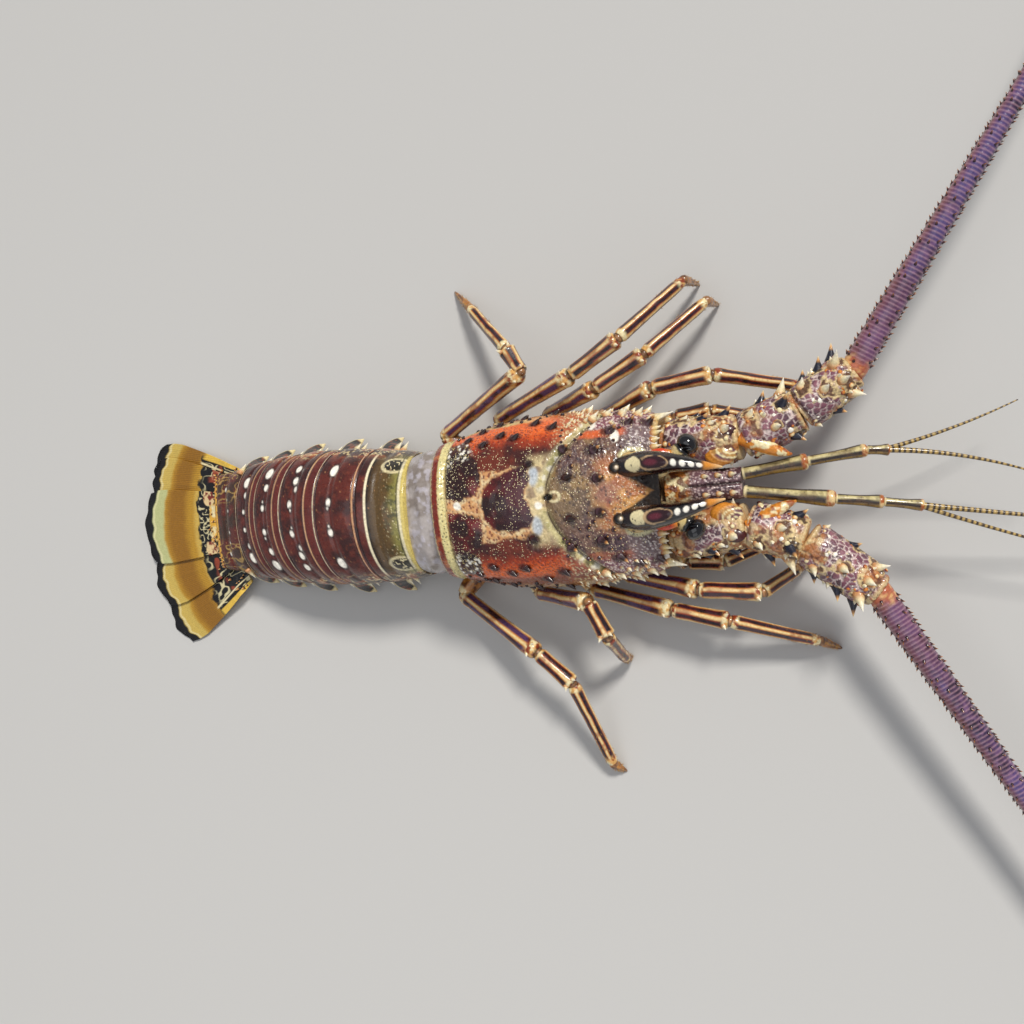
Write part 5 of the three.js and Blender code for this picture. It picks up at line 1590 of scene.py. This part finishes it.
# Ends of the five stretches of each leg, from the body to the tip
LEGS = {
    "left": [
        [(98, 12, 10), (118, 32, 12), (146, 46, 20), (168, 48, 18), (200, 40, 9), (216, 33, 0.2)],
        [
            (84, 18, 10), (96, 52, 15), (135.6, 64.7, 36),
            (173.5, 68.2, 36), (224, 56, 17), (232, 50, 0.2),
        ],
        [
            (62, 22, 10), (60, 58, 16), (100.6, 68.6, 42),
            (134.4, 84.9, 46), (172.7, 115.6, 26), (177, 117, 0.2),
        ],
        [
            (40, 26, 10), (25, 59, 17), (87.4, 78, 48),
            (120.8, 95.6, 54), (160.4, 129.9, 30), (166, 132, 0.2),
        ],
        [
            (16, 27, 10), (-15, 52.4, 17), (52.6, 85.3, 42),
            (42.4, 102.3, 38), (10.8, 138.7, 14), (-4.7, 155, 0.2),
        ],
    ],
    "right": [
        [
            (98, -12, 10), (118, -32, 12), (146, -46, 20),
            (168, -48, 18), (198, -38, 9), (212, -30, 0.2),
        ],
        [
            (84, -18, 10), (104, -52, 15), (153, -63.4, 34),
            (191.5, -67.1, 33), (213, -55, 16), (225, -48, 0.2),
        ],
        [
            (62, -22, 10), (80, -60, 14), (134.6, -75.5, 28),
            (169.7, -84.1, 30), (221.5, -101.3, 12), (233, -108, 0.2),
        ],
        [
            (40, -26, 10), (44, -60, 17), (87.2, -65.5, 54),
            (96.8, -87.7, 52), (98, -107.3, 12), (99.2, -108, 0.2),
        ],
        [
            (16, -27, 10), (-12, -58, 16), (44.5, -98.2, 34),
            (65.9, -119.6, 32), (82.2, -177.9, 8), (88.6, -184.7, 0.2),
        ],
    ],
}
# Along each stretch: share of its length, and half width and half height over LEG_RADIUS
LEG_PROFILE = [
    [(0, 1.45, 1.45), (0.5, 1.3, 1.3), (0.86, 1.15, 1.15), (1, 0.85, 0.9)],
    [
        (0, 0.8, 0.9), (0.06, 0.98, 1.05), (0.14, 0.92, 1.02), (0.6, 1, 1.1), (0.9, 1.14, 1.14),
        (0.97, 1.12, 1.12), (1, 0.8, 0.8),
    ],
    [
        (0, 0.8, 0.8), (0.08, 0.95, 0.95), (0.36, 0.94, 0.94), (0.8, 1.05, 1), (0.95, 1.08, 1.02),
        (1, 0.72, 0.72),
    ],
    [
        (0, 0.68, 0.68), (0.05, 0.84, 0.86), (0.15, 0.8, 0.84), (0.6, 0.72, 0.76), (0.93, 0.68, 0.72),
        (1, 0.5, 0.52),
    ],
    [(0, 0.5, 0.53), (0.12, 0.55, 0.58), (0.5, 0.36, 0.4), (0.85, 0.2, 0.22), (1, 0.06, 0.06)],
]


# Bristles start this high above the ground, in mm.
BRISTLE_CLEARANCE = 3.2


def leg(word, n):
    """One walking leg in five striped stretches, with a ball in each joint."""
    coat = Coat()
    joints = LEGS[word][n]
    side = 1 if word == "left" else -1
    draw = np.random.default_rng(211 + n + (10 if side > 0 else 0))
    for stretch in range(5):
        start, end = np.array(joints[stretch], float), np.array(joints[stretch + 1], float)
        shift = 0.35 * unit(end - start)
        first, last = start + (shift if stretch else 0), end - (shift if stretch < 4 else 0)
        stations = [
            (first + (last - first) * share, wide * LEG_RADIUS, high * LEG_RADIUS)
            for share, wide, high in LEG_PROFILE[stretch]
        ]
        grid, share, angle, _ = limb_points(stations, 40, 0.7)
        turn = angle + 0.25 * (noise(grid, 9, 213) - 0.5)
        wave = np.cos(5 * turn - math.pi / 2 * 5 + 0.9)
        stripe = smooth(wave, -0.15, 0.25)
        fleck = layered(grid, 2.2, 215)
        dark = blend(grid, "3a1622", "1c0d16", smooth(fleck, 0.45, 0.6))
        if stretch == 1:
            dark = over(dark, "4f3560", patches(grid, 9, 218, 0.42, 0.55) * 0.8)
        light = blend(grid, "b9712f", "e6c98c", smooth(wave, 0.35, 0.9))
        light = over(light, "8a3c1c", patches(grid * (0.35, 0.35, 1.0), 3, 216, 0.55, 0.68) * 0.6)
        colours = over(dark, light, stripe)
        colours = over(colours, "a8431c", band(wave, -0.15, 0.15, 0.1) * 0.7)
        if stretch in (0, 4):
            golden = blend(grid, "b8772a", "6a3a16", smooth(fleck, 0.45, 0.62))
            colours = over(colours, golden, 0.75)
        knob = np.maximum(smooth(share, 0.09, 0.04), smooth(share, 0.86, 0.93)) * (stretch < 4)
        knobby = blend(grid, "dba55c", CREAM, smooth(fleck, 0.42, 0.58))
        knobby = over(knobby, "8c3a1c", patches(grid, 3, 217, 0.56, 0.64))
        colours = painted(
            colours,
            (knobby, knob),
            (DEEP, np.maximum(smooth(share, 0.012, 0.0), smooth(share, 0.985, 1.0)) * 0.8),
        )
        lift = 0.3 * smooth(wave, -0.2, 0.4) * (1 - knob) + 0.9 * knob * (fleck - 0.4)
        grid = raised(grid, lift)
        grid[..., 2] = np.maximum(grid[..., 2], 0.0)
        add_tube(coat, grid, colours, 0.3)
        if stretch < 4:
            ball = dome(end, (0.62 * LEG_RADIUS,) * 3, end - start + (0, 0, 0.01))
            ball[..., 2] = np.maximum(ball[..., 2], 0.0)
            add_tube(coat, ball, blend(ball, "c08a58", DEEP, noise(ball, 2, 219)), 0.1)
        if stretch in (1, 2):
            for turned in (-38, 38):
                wide = LEG_RADIUS * 1.05
                at, outward, direction = limb_point(start, end, 0.93, wide, wide, turned, side)
                add_studs(coat, at, outward + 0.7 * direction, 3.4, 1.4, SPINE, PALE_SPINE, 9)
        if stretch >= 3:
            number, begin = (34, 0.55) if stretch == 3 else (90, 0.03)
            place = draw.uniform(begin, 0.97, number)
            shares, wides, _ = zip(*LEG_PROFILE[stretch])
            wide = LEG_RADIUS * np.interp(place, shares, wides)
            turns = draw.uniform(-180, 180, number)
            at, outward, direction = limb_point(start, end, place, wide, wide, turns, side)
            keep = at[:, 2] > BRISTLE_CLEARANCE
            lean = (outward + 1.1 * direction)[keep]
            length = draw.uniform(1.2, 2.4, number)[keep]
            add_studs(coat, at[keep], lean, length, 0.16, HAIR, BRISTLE, 4, 0.0)
    names = [f"leg_{word}_{n + 1}_upper", f"leg_{word}_{n + 1}_lower"]
    coat.build(f"walking_leg_{word}_{n + 1}", LIMB, names)


def maxilliped(word, side):
    coat = Coat()
    points = [
        (112.3, side * 5, 12), (126, side * 9.5, 12), (146, side * 10, 14), (160, side * 8.5, 15),
        (170, side * 6, 13),
    ]
    sizes = [(3.6, 4.5), (4.2, 4.6), (4.0, 4.2), (3.4, 3.6), (2.0, 2.2)]
    for n in range(4):
        stations = []
        for share, swell in ((0, 0.85), (0.1, 1.0), (0.85, 1.06), (1.0, 0.85)):
            wide, high = between(sizes[n], sizes[n + 1], share)
            stations.append((between(points[n], points[n + 1], share), wide * swell, high * swell))
        grid = limb_points(stations, 32, 0.8, (1, 0, 0) if n == 0 else None)[0]
        fleck = layered(grid, 3, 221)
        colours = blend(grid, "c98a4a", CREAM, smooth(fleck, 0.45, 0.62))
        colours = over(colours, "8a3c20", patches(grid, 5, 223, 0.55, 0.66) * 0.8)
        add_tube(coat, grid, colours, 0.3)
    draw = np.random.default_rng(227 + side)
    number = 120
    place = draw.uniform(0.0, 1.0, number)
    turns = draw.uniform(30, 210, number) * -side
    at, outward, direction = limb_point(points[2], points[4], place, 3.2, 3.4, turns, side)
    add_studs(coat, at, outward + 0.6 * direction, 2.8, 0.2, HAIR, BRISTLE, 4, 0.0)
    coat.build(f"mouth_leg_{word}", LIMB, [f"maxilliped_{word}"])


make_carapace()
make_plate()
make_waist()
for ring in range(6):
    tail_ring(ring)
for blade in BLADES:
    fan_blade(blade)
for word, sign in (("left", 1), ("right", -1)):
    horn(sign)
    eye(sign)
    maxilliped(word, sign)
    for number in range(3):
        article(word, number)
    flagellum(word)
    antennule(word)
    for number in range(5):
        leg(word, number)


# The sternum keeps its solid and takes a finish.
def sternum_finish():
    finish = Finish("sternum_finish")
    stains = finish.noise(9, 2)
    ramp = finish.node("ValToRGB", {"Fac": stains})
    dark, light = ramp.color_ramp.elements
    dark.position, dark.color = 0.38, (*tint("a8643a"), 1)
    light.position, light.color = 0.62, (*tint(CREAM), 1)
    bump = finish.node("Bump", {"Distance": 0.4 * MM, "Height": stains})
    finish.feed(finish.shader, {
        "Base Color": ramp.outputs["Color"],
        "Roughness": 0.42,
        "Normal": bump.outputs["Normal"],
    })
    return finish.material


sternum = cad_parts["sternum"]
sternum.data.materials.clear()
sternum.data.materials.append(sternum_finish())

# Floor, lights and camera
FLOOR_HALF = 14.0
floor_mesh = bpy.data.meshes.new("floor")
corners = [(FLOOR_HALF * x, FLOOR_HALF * y, 0) for x, y in ((-1, -1), (1, -1), (1, 1), (-1, 1))]
floor_mesh.from_pydata(corners, [], [(0, 1, 2, 3)])
floor = bpy.data.objects.new("floor", floor_mesh)
bpy.context.collection.objects.link(floor)
floor_material = bpy.data.materials.new("floor")
floor_material.use_nodes = True
floor_inputs = floor_material.node_tree.nodes["Principled BSDF"].inputs
floor_inputs["Base Color"].default_value = (0.56, 0.55, 0.53, 1)
floor_inputs["Roughness"].default_value = 0.75
floor_mesh.materials.append(floor_material)


def add_light(name, kind, at, aim, energy, colour):
    """A light at a place and aimed at another, for its own settings to be added."""
    lamp = bpy.data.lights.new(name, kind)
    lamp.energy = energy
    lamp.color = colour
    light = bpy.data.objects.new(name, lamp)
    light.location = at
    light.rotation_euler = (Vector(aim) - Vector(at)).to_track_quat("-Z", "Y").to_euler()
    bpy.context.collection.objects.link(light)
    return lamp


SKY_BLUE = (0.95, 0.97, 1.0)
key = add_light("key", "SUN", (0.75, 1.1, 1.35), (0, 0, 0), 2.7, (1.0, 0.97, 0.92))
key.angle = math.radians(11)
for name, at, size, watts in (("overhead", (-0.2, -0.1, 1.7), 1.6, 6), ("fill", (0.2, -1.4, 0.8), 1.2, 2.5)):
    lamp = add_light(name, "AREA", at, (0, 0, 0.03), watts, SKY_BLUE)
    lamp.shape = "SQUARE"
    lamp.size = size
world = bpy.data.worlds.new("studio")
world.use_nodes = True
world.node_tree.nodes["Background"].inputs["Color"].default_value = (0.9, 0.93, 1.0, 1)
world.node_tree.nodes["Background"].inputs["Strength"].default_value = 0.3
bpy.context.scene.world = world
bpy.context.scene.view_settings.view_transform = "Standard"

CAMERA_AT = (0.1792, -0.0134, 0.6492)
TILT, AZIMUTH, ROLL = math.radians(19.2), math.radians(-2.4), math.radians(2.8)
back = Vector((math.sin(TILT) * math.cos(AZIMUTH), math.sin(TILT) * math.sin(AZIMUTH), math.cos(TILT)))
level_up = Vector((-math.sin(AZIMUTH), math.cos(AZIMUTH), 0))
level_right = level_up.cross(back)
right = level_right * math.cos(ROLL) - level_up * math.sin(ROLL)
up = level_up * math.cos(ROLL) + level_right * math.sin(ROLL)
lens = bpy.data.cameras.new("camera")
lens.sensor_width = 36
lens.lens = 34.66
camera = bpy.data.objects.new("camera", lens)
turned = Matrix((right, up, back)).transposed().to_4x4()
camera.matrix_world = Matrix.Translation(CAMERA_AT) @ turned
bpy.context.collection.objects.link(camera)
bpy.context.scene.camera = camera
